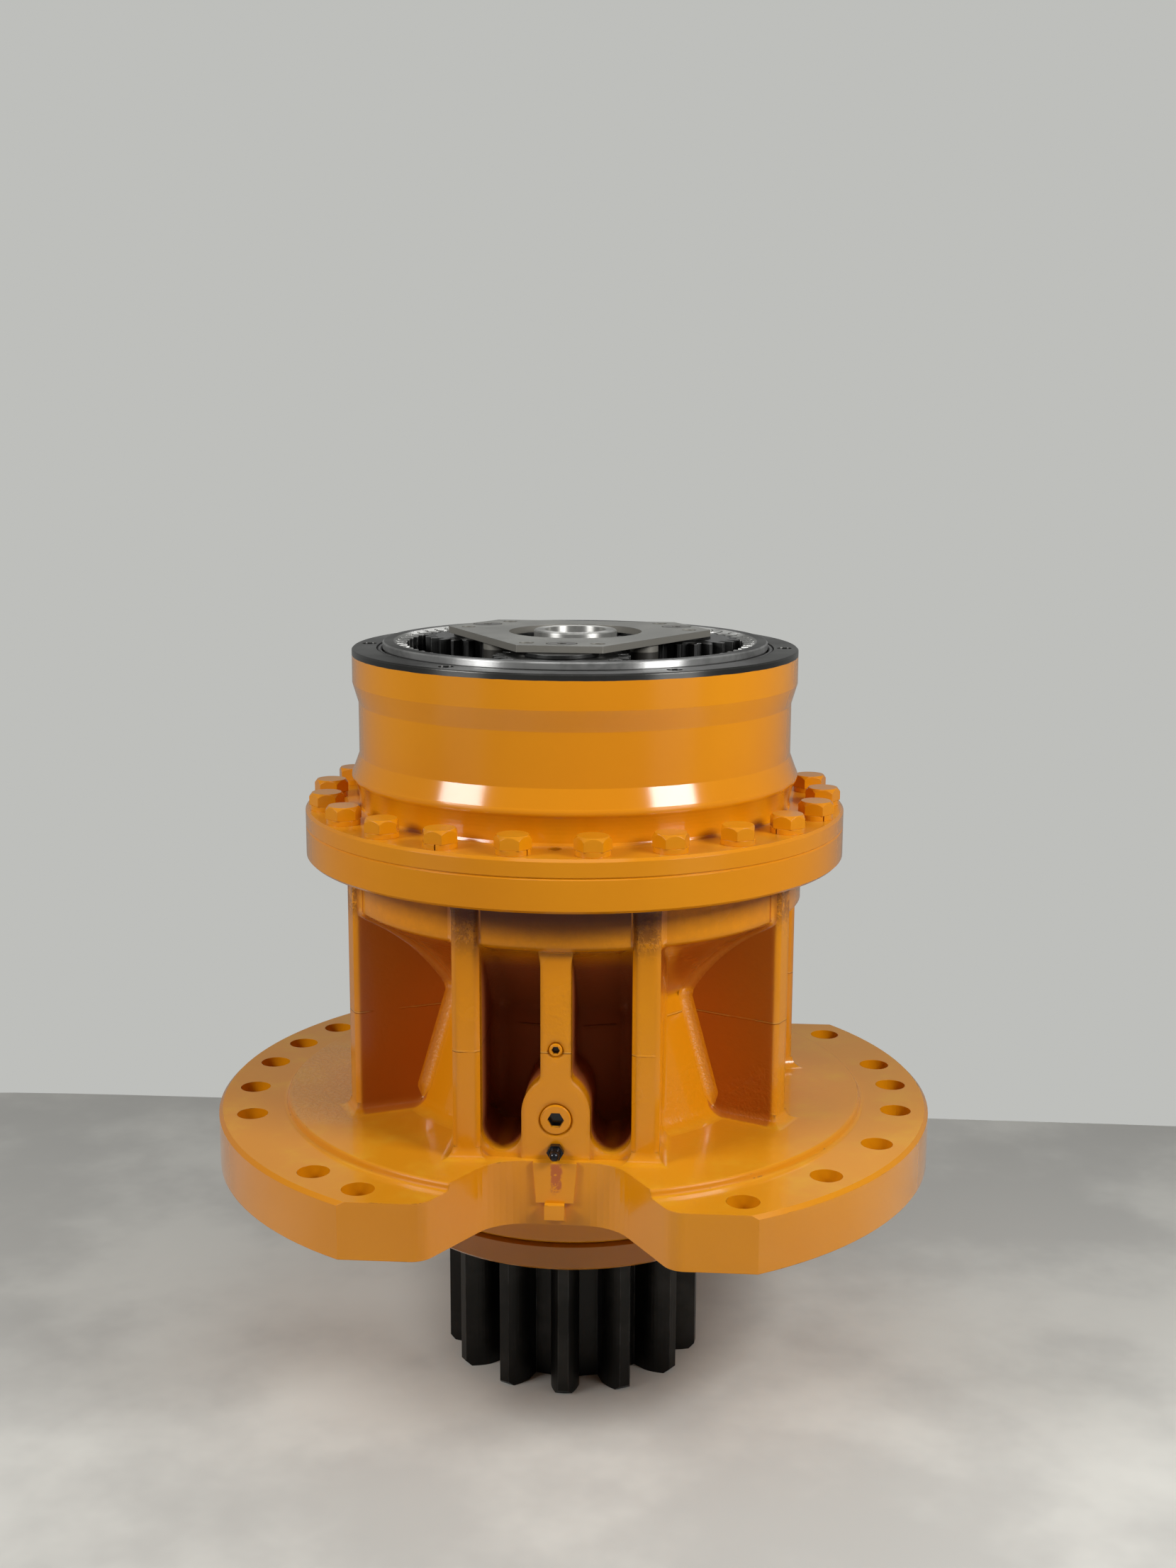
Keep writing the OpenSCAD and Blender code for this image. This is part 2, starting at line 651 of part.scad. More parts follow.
// Outside of the ring gear from the collar that enters the casing up to the locating lip
module ring_profile() {
    z0 = casing_h - pilot_depth + 0.5;
    z1 = casing_h + ring_flange_t;
    belt = skirt_r + belt_out;
    out = skirt_r + collar_out;
    groove_r = lip_r + lip_groove_w;
    groove_z = ring_top_z - lip_groove_w;
    polygon(concat([[ring_tip_r - 5, z0], [pilot_r - fit - 1, z0], [pilot_r - fit, z0 + 1],
        [pilot_r - fit, casing_h], [flange_r - seam, casing_h], [flange_r, casing_h + seam],
        [flange_r, z1 - 2], [flange_r - 2, z1],
        [skirt_r + 1, z1]],
        arc([skirt_r, z1 + 2], [belt - 1.6, z1 + belt_z - 4], belt_hollow_r, 6),
        arc([belt - 1, z1 + belt_z - 3], [belt - 1, z1 + belt_z + 3], -5, 5),
        [[skirt_r, z1 + belt_z + belt_taper], [skirt_r, ring_top_z - collar_h],
        [out, ring_top_z - collar_h + collar_taper], [out, ring_top_z - 1], [out - 1, ring_top_z],
        [groove_r, ring_top_z], [groove_r, groove_z], [lip_r - lip_relief, groove_z],
        [lip_r - lip_relief, ring_top_z - lip_relief], [lip_r, ring_top_z], [lip_r, lip_z - 1],
        [lip_r - 1, lip_z],
        [ring_root_r + 1.5, lip_z], [ring_root_r - 1.5, lip_z - 2], [ring_tip_r - 5, lip_z - 2]]));
}

module ring_gear() {
    color(paint) difference() {
        rotate_extrude($fn = 128) ring_profile();
        translate([0, 0, casing_h - ring_h / 2]) linear_extrude(2 * ring_h)
            polygon(gear(train_module, ring_teeth, ring_tip_r, ring_root_r, -backlash / 2, 3));
        for (a = bolt_angles) {
            at(a, bolt_r, casing_h - 1) cylinder(d = bolt_d + 1, h = ring_flange_t + 2);
        }
        for (a = motor_angles) {
            at(a, motor_hole_r, ring_top_z - motor_hole_depth)
                cylinder(d = motor_hole_d, h = motor_hole_depth + 1, $fn = 48);
        }
        for (a = dowel_angles) {
            at(a, dowel_r, casing_h - 1) cylinder(d = dowel_d + 2 * fit, h = ring_flange_t + 2);
        }
    }
}

// Hexagon head with the round chamfer that such heads have
module hex_head(af, h) {
    intersection() {
        linear_extrude(h) circle(d = af / cos(30), $fn = 6);
        translate([0, 0, -af]) cylinder(r1 = af * 1.5, r2 = af * 0.48, h = af + h);
    }
}

module flange_bolt() {
    length = bolt_len - 1;
    hex_head(bolt_af, bolt_head_h);
    translate([0, 0, -length]) cylinder(d = bolt_d, h = length + 1);
}

module flange_bolts() {
    color(paint) for (a = bolt_angles) {
        at(a, bolt_r, casing_h + ring_flange_t + spring_t) rotate([0, 0, a * 7]) flange_bolt();
    }
}

module spring_washers() {
    color(paint) for (a = bolt_angles) {
        at(a, bolt_r, casing_h + ring_flange_t) rotate([0, 0, a * 3]) difference() {
            tube(spring_d / 2, bolt_d / 2 + 0.4, 0, spring_t);
            translate([0, -spring_slit / 2, -1]) cube([spring_d, spring_slit, spring_t + 2]);
        }
    }
}

module dowel_pins() {
    color(steel) for (a = dowel_angles) {
        at(a, dowel_r, casing_h - dowel_depth)
            cylinder(d = dowel_d, h = dowel_depth + ring_flange_t - 4, $fn = 48);
    }
}

module joint_seal() {
    color(rubber) rotate_extrude() translate([pilot_r + 2, casing_h - 2]) circle(r = 1.8, $fn = 24);
}

module lip_seal() {
    color(rubber) rotate_extrude() translate([lip_r + lip_groove_w / 2, ring_top_z - lip_groove_w / 2 - fit])
        circle(r = lip_groove_w / 2 - 0.2, $fn = 24);
}

module lower_bearing_outer() {
    color(steel) race(lower_bearing_r - fit, lower_bearing_r - fit - race_t, lower_bearing_z,
        lower_bearing_z + lower_bearing_w - fit);
}

module upper_bearing_outer() {
    color(steel) race(upper_bearing_r - fit, upper_bearing_r - fit - race_t, upper_bearing_z + fit,
        upper_bearing_z + upper_bearing_w);
}

// Retainer: holds the lower bearing's outer ring from below and carries the oil seal
module retainer() {
    top = retainer_z + retainer_t;
    lip_in = lower_bearing_r - race_t + 3;
    lip_top = lower_bearing_z - fit;
    color(paint) difference() {
        rotate_extrude() polygon([[seal_journal_r + 3, retainer_z], [spigot_r - 2, retainer_z],
            [spigot_r, retainer_z + 2], [spigot_r, top - 2], [spigot_r - 3.5, top],
            [lower_bearing_r + 1, top], [lower_bearing_r + 1, top + retainer_gap - fit],
            [lower_bearing_r - fit, top + retainer_gap - fit], [lower_bearing_r - fit, lip_top],
            [lip_in, lip_top], [lip_in, top], [seal_r, top], [seal_r, retainer_z + 5],
            [seal_journal_r + 3, retainer_z + 5]]);
        for (a = screw_angles) {
            at(a, screw_circle_r, retainer_z - 1) {
                cylinder(d = retainer_screw_d + 1, h = retainer_t + 8, $fn = 32);
                cylinder(d = screw_head_d + 1.5, h = retainer_screw_d + 2, $fn = 48);
            }
        }
    }
}

module retainer_screws_set() {
    head_z = retainer_z + 1;
    color(black_steel) for (a = screw_angles) {
        at(a, screw_circle_r, head_z) difference() {
            union() {
                cylinder(d = screw_head_d, h = retainer_screw_d, $fn = 48);
                cylinder(d = retainer_screw_d, h = retainer_t + screw_reach, $fn = 32);
            }
            translate([0, 0, -1]) cylinder(d = retainer_screw_d * 0.9, h = retainer_screw_d * 0.6, $fn = 6);
        }
    }
}

module oil_seal() {
    z0 = retainer_z + 5 + fit;
    z1 = retainer_z + retainer_t - 1;
    color(rubber) rotate_extrude() polygon([[seal_journal_r + run, z0 + 3], [seal_journal_r + 4, z0],
        [seal_r - fit, z0], [seal_r - fit, z1], [seal_r - 4, z1], [seal_r - 4, z0 + 4],
        [seal_journal_r + 6, z0 + 4], [seal_journal_r + 5, z1 - 3], [seal_journal_r + run, z1 - 5]]);
}

// Plug with a socket for a hexagon key, seen from the front of the boss
module socket_plug(d, length, key) {
    rotate([-90, 0, 0]) difference() {
        union() {
            translate([0, 0, -boss_face]) cylinder(d = d, h = length);
            translate([0, 0, -boss_face - 1]) cylinder(d1 = d - 1.5, d2 = d, h = 1);
        }
        translate([0, 0, -boss_face - 2]) cylinder(d = key / cos(30), h = length * 0.6, $fn = 6);
    }
}

module drain_plug() {
    color(paint) translate([0, 0, drain_z]) socket_plug(drain_d, plug_depth - 1, drain_d * 0.47);
}

module level_plug() {
    color(paint) translate([0, 0, level_z]) socket_plug(level_d, level_depth - 1, level_d * 0.55);
}

module grease_nipple() {
    color(black_steel) translate([0, -boss_face - fit, pad_z + nipple_d / 2]) rotate([90, 0, 0]) {
        translate([0, 0, -nipple_d]) cylinder(d = stud_d, h = nipple_d + 1, $fn = 32);
        cylinder(d = nipple_d * 0.95, h = 5, $fn = 6);
        translate([0, 0, 5]) cylinder(d1 = nipple_d * 0.65, d2 = stud_d, h = 3, $fn = 32);
        translate([0, 0, 8]) cylinder(d = stud_d, h = 1.5, $fn = 32);
        translate([0, 0, 11]) sphere(d = 7.5, $fn = 32);
    }
}

// Pinion teeth with chamfered ends
module pinion() {
    tip_r = pinion_module * (pinion_teeth / 2 + 1);
    root_r = pinion_module * (pinion_teeth / 2 - 1.25);
    top = pinion_z + pinion_w;
    c = 4;
    intersection() {
        translate([0, 0, pinion_z]) linear_extrude(pinion_w)
            polygon(gear(pinion_module, pinion_teeth, root_r, tip_r, backlash, 7));
        rotate_extrude() polygon([[0, pinion_z], [tip_r - c, pinion_z], [tip_r + 0.1, pinion_z + c],
            [tip_r + 0.1, top - c], [tip_r - c, top], [0, top]]);
    }
}

// Output shaft: journals for the seal and the bearings, the nut's thread and the spline
module shaft_profile() {
    seat_top = lower_bearing_z + lower_bearing_w;
    thread_top = nut_z + nut_t;
    polygon([[0, -pinion_drop - 1], [seal_journal_r, -pinion_drop - 1],
        [seal_journal_r, lower_bearing_z - fit], [lower_seat_r, lower_bearing_z - fit],
        [lower_seat_r, seat_top - 3], [middle_r, seat_top - 1], [middle_r, upper_bearing_z - fit],
        [upper_seat_r, upper_bearing_z - fit], [upper_seat_r, thread_top],
        [spline_root_r, thread_top + 4], [spline_root_r, shaft_z], [0, shaft_z]]);
}

module pinion_shaft() {
    color(black_steel) difference() {
        union() {
            pinion();
            rotate_extrude() shaft_profile();
            translate([0, 0, hub_z - 4]) linear_extrude(shaft_z - hub_z + 4)
                polygon(gear(spline_module, spline_teeth, spline_root_r, spline_tip_r, fit, 1));
        }
        tube(spline_tip_r + 5, spline_root_r - 1, ring_groove_z, ring_groove_z + ring_groove_w);
        translate([0, 0, pinion_z - 1]) cylinder(d = 20, h = 40);
    }
}

module lower_bearing_inner() {
    color(steel) race(lower_seat_r + race_t, lower_seat_r + fit, lower_bearing_z,
        lower_bearing_z + lower_bearing_w);
}

module upper_bearing_inner() {
    color(steel) race(upper_seat_r + race_t, upper_seat_r + fit, upper_bearing_z,
        upper_bearing_z + upper_bearing_w);
}

// Ring of bearing rollers standing between two races
module rollers(count, pitch, r, z0, h) {
    for (i = [0 : count - 1]) {
        at(i * 360 / count, pitch, z0) cylinder(r = r, h = h, $fn = 32);
    }
}

// Cage with a round pocket for each roller
module cage(count, pitch, r, z0, h) {
    difference() {
        tube(pitch + r * 0.45, pitch - r * 0.45, z0, z0 + h);
        rollers(count, pitch, r + run, z0 + 3, h - 6);
    }
}

module lower_rollers() {
    color(steel) rollers(roller_count, lower_roller_pitch, lower_roller_r, lower_bearing_z + 6,
        lower_bearing_w - 12);
}

module lower_cage() {
    color(bronze) cage(roller_count, lower_roller_pitch, lower_roller_r, lower_bearing_z + 2.5,
        lower_bearing_w - 5);
}

module upper_rollers() {
    color(steel) rollers(roller_count, upper_roller_pitch, upper_roller_r, upper_bearing_z + 6,
        upper_bearing_w - 12);
}

module upper_cage() {
    color(bronze) cage(roller_count, upper_roller_pitch, upper_roller_r, upper_bearing_z + 2.5,
        upper_bearing_w - 5);
}

module spacer_sleeve() {
    color(steel) tube(middle_r + 10, middle_r + fit, lower_bearing_z + lower_bearing_w + fit,
        upper_bearing_z - fit);
}

module lock_washer() {
    z0 = upper_bearing_z + upper_bearing_w + fit;
    color(steel) tube(upper_seat_r + 12, upper_seat_r + fit, z0, z0 + 2);
}

// Round nut with four slots for a hook wrench
module shaft_nut() {
    color(dark_steel) difference() {
        tube(upper_seat_r + 14, upper_seat_r + fit, nut_z, nut_z + nut_t);
        for (a = [0 : 90 : 270]) {
            at(a, upper_seat_r + 14, nut_z + nut_t - 8) translate([-6, -5, 0]) cube([12, 11, 9]);
        }
    }
}

// Three posts between the planets that tie a carrier's plates together
module carrier_posts(first, radius, r, z0, z1) {
    for (k = [0 : 2]) {
        at(first + 60 + 120 * k, radius, z0) cylinder(r = r, h = z1 - z0);
    }
}

module lower_carrier() {
    post_ring = sun_tip_r + 29;
    hub_r = spline_tip_r + 16;
    color(dark_steel) difference() {
        union() {
            translate([0, 0, lower_plate_z]) cylinder(r = lower_carrier_r, h = lower_plate_t);
            translate([0, 0, hub_z]) cylinder(r = hub_r, h = hub_h + 1);
            carrier_posts(lower_angle, post_ring, 16, shaft_z - 1, lower_cover_z + 1);
            translate([0, 0, lower_cover_z]) cylinder(r = lower_carrier_r, h = lower_cover_t);
        }
        translate([0, 0, lower_cover_z - 1]) cylinder(r = sun_tip_r + 8, h = lower_cover_t + 2);
        for (a = lower_pins) {
            at(a, carrier_r, lower_plate_z + lower_pin_seat)
                cylinder(r = lower_pin_r + fit, h = lower_cover_z);
        }
        translate([0, 0, hub_z - 1]) linear_extrude(hub_h + lower_plate_t + 2)
            polygon(gear(spline_module, spline_teeth, spline_root_r + fit, spline_tip_r + fit, -fit, 1));
        translate([0, 0, ring_groove_z]) cylinder(r = spline_tip_r + 5, h = shaft_z - ring_groove_z + 1);
    }
}

// Spring ring that locks the lower carrier on the shaft
module carrier_ring() {
    color(steel) difference() {
        tube(spline_tip_r + 4, spline_root_r - 1 + fit, ring_groove_z + fit,
            ring_groove_z + ring_groove_w - fit);
        translate([-4, -spline_tip_r - 10, ring_groove_z - 1]) cube([8, 25, ring_groove_w + 2]);
    }
}

// A planet pin with chamfered ends and a blind hole in the top
module planet_pin(r, z0, z1) {
    translate([0, 0, z0]) difference() {
        union() {
            cylinder(r = r, h = z1 - z0 - 1);
            translate([0, 0, z1 - z0 - 1]) cylinder(r1 = r, r2 = r - 1, h = 1);
        }
        translate([0, 0, z1 - z0 - 12]) cylinder(d = r * 0.6, h = 13, $fn = 32);
    }
}

module lower_planet_pins() {
    color(steel) for (a = lower_pins) {
        at(a, carrier_r) planet_pin(lower_pin_r, lower_plate_z + lower_pin_seat + fit,
            lower_cover_z + lower_cover_t);
    }
}

module upper_planet_pins() {
    color(steel) for (a = upper_pins) {
        at(a, carrier_r) planet_pin(upper_pin_r, upper_plate_z + upper_pin_seat + fit, train_z);
    }
}

// Thrust washers under and over the planets of one stage
module thrust_washers(pins, pin_r, z0, w) {
    color(bronze) for (a = pins, z = [z0 - run - washer_t, z0 + w + run]) {
        at(a, carrier_r) tube(pin_r + 16, pin_r + run, z, z + washer_t);
    }
}

module lower_thrust_washers() {
    thrust_washers(lower_pins, lower_pin_r, lower_planet_z, lower_planet_w);
}

module upper_thrust_washers() {
    thrust_washers(upper_pins, upper_pin_r, upper_planet_z, upper_planet_w);
}

// Disc between the end of the shaft and the lower sun gear
module shaft_disc() {
    color(bronze) translate([0, 0, shaft_z + run]) cylinder(r = sun_root_r - 4, h = sun_disc_t);
}

// Disc between the two sun gears
module sun_disc() {
    color(bronze) translate([0, 0, upper_sun_z - run - sun_disc_t])
        cylinder(r = sun_root_r - 4, h = sun_disc_t);
}

// One planet gear with its bore
module planet(angle, z0, w, bore) {
    root_r = train_module * (planet_teeth / 2 - 1.25);
    at(angle, carrier_r, z0) rotate([0, 0, planet_turn(angle)]) difference() {
        linear_extrude(w) polygon(gear(train_module, planet_teeth, root_r, planet_tip_r, backlash, 3));
        translate([0, 0, -1]) cylinder(r = bore, h = w + 2);
    }
}

// Needle rollers between a planet and its pin
module needles(angle, pin_r, d, z0, w) {
    count = floor(360 / (2 * asin((d / 2 + 0.2) / (pin_r + d / 2))));
    at(angle, carrier_r, z0 + 1) rollers(count, pin_r + d / 2 + fit, d / 2, 0, w - 2);
}

module lower_planet(k) {
    color(dark_steel) planet(lower_pins[k], lower_planet_z, lower_planet_w,
        lower_pin_r + lower_needle_d + 2 * fit);
}

module lower_needles(k) {
    color(steel) needles(lower_pins[k], lower_pin_r, lower_needle_d, lower_planet_z, lower_planet_w);
}

module upper_planet(k) {
    color(dark_steel) planet(upper_pins[k], upper_planet_z, upper_planet_w,
        upper_pin_r + upper_needle_d + 2 * fit);
}

module upper_needles(k) {
    color(steel) needles(upper_pins[k], upper_pin_r, upper_needle_d, upper_planet_z, upper_planet_w);
}

// Lower sun gear, whose teeth run up into the upper carrier's plate and turn with it
module lower_sun() {
    color(dark_steel) difference() {
        rotate([0, 0, sun_turn(lower_angle)]) translate([0, 0, lower_sun_z]) linear_extrude(lower_sun_h)
            polygon(gear(train_module, sun_teeth, sun_root_r, sun_tip_r, backlash, 4));
        tube(sun_tip_r + 5, sun_root_r - 1, sun_groove_z, sun_groove_z + sun_groove_w);
        translate([0, 0, lower_sun_z - 1]) cylinder(r = sun_root_r - 22, h = lower_sun_h + 2);
    }
}

// Spring ring that locks the lower sun gear in the upper carrier
module sun_ring() {
    color(steel) difference() {
        tube(sun_tip_r + 1, sun_root_r - 1 + fit, sun_groove_z + fit, sun_groove_z + sun_groove_w - fit);
        translate([-3, -sun_tip_r - 5, sun_groove_z - 1]) cube([6, 18, sun_groove_w + 2]);
    }
}

// Plan of the upper carrier's top plate: a triangle with its corners cut off
module cover_plan() {
    polygon([for (k = [0 : 2], s = [-1, 1])
        let (a = 120 * k) [s * cover_short / 2 * cos(a) + cover_edge * sin(a),
            s * cover_short / 2 * sin(a) - cover_edge * cos(a)]]);
}

module upper_carrier() {
    cover_post_r = (cover_edge / 2 + cover_short * cos(30) / 2 + cover_hole_r) / 2;
    color(dark_steel) difference() {
        union() {
            translate([0, 0, upper_plate_z]) cylinder(r = carrier_r + upper_pin_r + 14, h = upper_plate_t);
            carrier_posts(upper_angle, cover_post_r, 11, upper_plate_z + 1, upper_cover_z + 1);
            translate([0, 0, upper_cover_z]) rotate([0, 0, upper_angle]) linear_extrude(upper_cover_t)
                cover_plan();
        }
        translate([0, 0, upper_cover_z - 1]) cylinder(r = cover_hole_r, h = upper_cover_t + 2);
        for (a = upper_pins) {
            at(a, carrier_r, upper_plate_z + upper_pin_seat)
                cylinder(r = upper_pin_r + fit, h = upper_cover_z);
            for (s = [-1, 1]) {
                at(a, carrier_r - 2, upper_cover_z - 1) translate([s * (upper_pin_r + 15), 0, 0])
                    cylinder(d = cover_small_d, h = upper_cover_t + 2, $fn = 48);
            }
        }
        rotate([0, 0, sun_turn(lower_angle)]) translate([0, 0, upper_plate_z - 1])
            linear_extrude(upper_plate_t + 2)
                polygon(gear(train_module, sun_teeth, sun_root_r + fit, sun_tip_r + fit,
                    backlash - 3 * fit, 4));
    }
}

// Upper sun gear with the collar and the splined bore for the motor's shaft
module upper_sun() {
    collar_z = upper_sun_z + upper_sun_h;
    color(dark_steel) difference() {
        union() {
            rotate([0, 0, sun_turn(upper_angle)]) translate([0, 0, upper_sun_z]) linear_extrude(upper_sun_h)
                polygon(gear(train_module, sun_teeth, sun_root_r, sun_tip_r, backlash, 4));
            translate([0, 0, collar_z - 1]) cylinder(r = sun_collar_r, h = sun_collar_h);
            translate([0, 0, collar_z + sun_collar_h - 1])
                cylinder(r1 = sun_collar_r, r2 = sun_collar_r - 1, h = 1);
        }
        translate([0, 0, collar_z - 4]) cylinder(r = motor_bore_r, h = sun_collar_h + 5);
        translate([0, 0, upper_sun_z - 1]) linear_extrude(upper_sun_h + 2)
            polygon(gear(motor_spline_module, motor_spline_teeth, motor_spline_r - motor_spline_module,
                motor_spline_r + motor_spline_module, 0, 1));
    }
}

casing();
ring_gear();
flange_bolts();
spring_washers();
dowel_pins();
joint_seal();
lip_seal();
lower_bearing_outer();
upper_bearing_outer();
retainer();
retainer_screws_set();
oil_seal();
drain_plug();
level_plug();
grease_nipple();
pinion_shaft();
lower_bearing_inner();
lower_rollers();
lower_cage();
upper_bearing_inner();
upper_rollers();
upper_cage();
spacer_sleeve();
lock_washer();
shaft_nut();
lower_carrier();
carrier_ring();
lower_planet_pins();
lower_thrust_washers();
shaft_disc();
lower_planet(0);  // lower_planet_a
lower_planet(1);  // lower_planet_b
lower_planet(2);  // lower_planet_c
lower_needles(0);  // lower_needles_a
lower_needles(1);  // lower_needles_b
lower_needles(2);  // lower_needles_c
lower_sun();
sun_ring();
upper_carrier();
upper_planet_pins();
upper_thrust_washers();
sun_disc();
upper_planet(0);  // upper_planet_a
upper_planet(1);  // upper_planet_b
upper_planet(2);  // upper_planet_c
upper_needles(0);  // upper_needles_a
upper_needles(1);  // upper_needles_b
upper_needles(2);  // upper_needles_c
upper_sun();
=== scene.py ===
import math

import bpy
import numpy as np
from mathutils import Matrix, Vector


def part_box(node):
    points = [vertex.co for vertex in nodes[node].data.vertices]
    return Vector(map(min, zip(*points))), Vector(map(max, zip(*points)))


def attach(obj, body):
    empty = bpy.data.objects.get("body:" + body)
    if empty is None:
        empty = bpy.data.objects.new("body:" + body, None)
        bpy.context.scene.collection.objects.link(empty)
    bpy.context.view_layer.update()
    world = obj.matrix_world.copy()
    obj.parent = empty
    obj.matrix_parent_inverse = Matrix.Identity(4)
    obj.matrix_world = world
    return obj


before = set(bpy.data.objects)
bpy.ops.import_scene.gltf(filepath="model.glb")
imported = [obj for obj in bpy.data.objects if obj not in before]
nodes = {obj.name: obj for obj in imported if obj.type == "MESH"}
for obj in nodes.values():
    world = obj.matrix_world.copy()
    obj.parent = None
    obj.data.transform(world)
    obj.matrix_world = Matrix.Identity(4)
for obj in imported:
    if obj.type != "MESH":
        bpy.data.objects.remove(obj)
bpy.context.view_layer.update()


# Casing: one iron casting, machined on the base flange, the holes and the joint, and then sprayed
# orange yellow with the rest of the gearbox. The thick enamel keeps the sand texture of the cast
# walls, shines on the machined faces and has chipped on a few edges.
class Field:
    """A number that changes over a surface. Arithmetic on it adds Math nodes."""

    def __init__(self, home, socket):
        self.home = home
        self.socket = socket

    def math(self, operation, *others):
        return self.home.add("ShaderNodeMath", {"operation": operation},
                             dict(enumerate((self, *others))))

    def __add__(self, other):
        return self.math("ADD", other)

    def __mul__(self, other):
        return self.math("MULTIPLY", other)

    def __sub__(self, other):
        return self.math("SUBTRACT", other)

    def __rsub__(self, other):
        return self.math("MULTIPLY", -1.0).math("ADD", other)

    def __abs__(self):
        return self.math("ABSOLUTE")

    __radd__ = __add__
    __rmul__ = __mul__


class Nodes:
    """The nodes of a material or of the world, all of them made by one method."""

    def __init__(self, owner):
        owner.use_nodes = True
        self.tree = owner.node_tree
        self.tree.nodes.clear()

    def add(self, kind, settings=None, values=None, out=0):
        """Adds a node: its settings first, then the values or the links of its sockets. Returns
        the output that out names, or the node itself where out is None."""
        node = self.tree.nodes.new(kind)
        for key, value in (settings or {}).items():
            setattr(node, key, value)
        for key, value in (values or {}).items():
            if isinstance(value, Field):
                self.tree.links.new(value.socket, node.inputs[key])
            else:
                node.inputs[key].default_value = value
        return node if out is None else Field(self, node.outputs[out])


class Look(Nodes):
    """A material under construction, with the measures in metres that its patterns follow: the
    point, its x, y and z, and its reach, which is the distance from the gearbox's axis."""

    def __init__(self, name):
        self.material = bpy.data.materials.new(name)
        super().__init__(self.material)
        self.point = self.add("ShaderNodeTexCoord", out="Object")
        parts = self.add("ShaderNodeSeparateXYZ", {}, {0: self.point}, None).outputs
        self.x, self.y, self.z = (Field(self, socket) for socket in parts)
        self.reach = (self.x * self.x + self.y * self.y).math("SQRT")

    def step(self, field, none, full):
        """0 at none, 1 at full and a smooth rise between them. none may be the larger number."""
        falls = none > full
        return self.add("ShaderNodeMapRange", {"interpolation_type": "SMOOTHSTEP"}, {
            0: field, 1: min(none, full), 2: max(none, full),
            3: float(falls), 4: float(not falls)})

    def noise(self, scale, detail=2.0, roughness=0.5, point=None):
        """Noise between 0 and 1, with scale features to a metre."""
        return self.add("ShaderNodeTexNoise", {}, {
            "Vector": point or self.point, "Scale": scale, "Detail": detail,
            "Roughness": roughness})

    def drawn_out(self, *shares):
        """The point with each axis cut to a share, which draws a noise out along that axis."""
        return self.add("ShaderNodeMapping", {}, {"Vector": self.point, "Scale": shares})

    def mix(self, share, one, two):
        """Colour one where share is 0 and colour two where it is 1."""
        one, two = (colour if isinstance(colour, Field) else (*colour, 1) for colour in (one, two))
        return self.add("ShaderNodeMix", {"data_type": "RGBA"}, {0: share, 6: one, 7: two}, 2)

    def rounded(self, radius):
        """The normal as if each edge was rounded to that radius."""
        return self.add("ShaderNodeBevel", {"samples": 6}, {"Radius": radius})

    def edge(self, soft):
        """How far a rounded normal is bent: 0 on a flat face, and 1 less the cosine on an edge."""
        hard = self.add("ShaderNodeNewGeometry", out="Normal")
        return 1 - self.add("ShaderNodeVectorMath", {"operation": "DOT_PRODUCT"},
                            {0: soft, 1: hard}, "Value")

    def bump(self, height, distance, normal):
        """A normal bent by height, which is 1 at that distance in metres above the surface."""
        return self.add("ShaderNodeBump", {}, {
            "Height": height, "Distance": distance, "Normal": normal})

    def surface(self, **sockets):
        """The finished surface, from the sockets' names with _ for a space."""
        shader = self.add("ShaderNodeBsdfPrincipled", {},
                          {name.replace("_", " "): value for name, value in sockets.items()})
        self.add("ShaderNodeOutputMaterial", {}, {"Surface": shader}, None)
        return self.material


def dress(material, *names):
    """Gives the named solids a material."""
    for name in names:
        for slot in nodes[name].material_slots:
            slot.material = material


enamel_tones = (0.640, 0.222, 0.0024), (0.680, 0.250, 0.0030)
dust_and_top_sheen = (0.76, 0.48, 0.04)
chipped_to_iron = (0.045, 0.024, 0.015)
enamel_skin, machined_edge = 0.00065, 0.0006


def enamel_colour(look):
    """The two close tones of the spray, in wide clouds."""
    return look.mix(look.step(look.noise(5, 3), 0.35, 0.65), *enamel_tones)


def enamel(look, cast=0.0, chip=0.70, edge_radius=machined_edge):
    """Sprayed enamel with a clear gloss, duller with dust where it faces up and paler there, partly
    with dust and partly with a painted sheen of the light from above. cast is 1 where the iron
    under it is as cast and 0 where it is machined. Only machined edges chip, and the more the lower
    chip is."""
    soft = look.rounded(edge_radius)
    up = look.step(look.add("ShaderNodeSeparateXYZ", {}, {0: soft}, 2), 0.75, 0.98)
    dust = look.step(look.noise(24, 5, 0.65), 0.45, 0.75) * up
    chips = look.step(look.edge(soft), 0.03, 0.12)
    chips = chips * look.step(look.noise(55, 3, 0.7), chip, chip + 0.03)
    chips = chips * (1 - look.step(cast, 0.0, 0.1))
    # Paler where it faces up: dust, and a painted sheen of the light from above.
    colour = look.mix(up * 0.14 + dust * 0.25, enamel_colour(look), dust_and_top_sheen)
    grain = look.noise(330, 3, 0.6) + look.noise(95, 2) * 0.6
    height = grain * cast + look.noise(420, 2) * 0.04 - chips * 0.3
    return dict(
        Base_Color=look.mix(chips, colour, chipped_to_iron),
        Roughness=0.24 + up * 0.14 + cast * 0.05 + dust * 0.10 + chips * 0.3,
        Normal=look.bump(height, enamel_skin, soft), Specular_IOR_Level=0.15,
        Coat_Weight=1 - chips, Coat_IOR=1.4, Coat_Roughness=0.13)


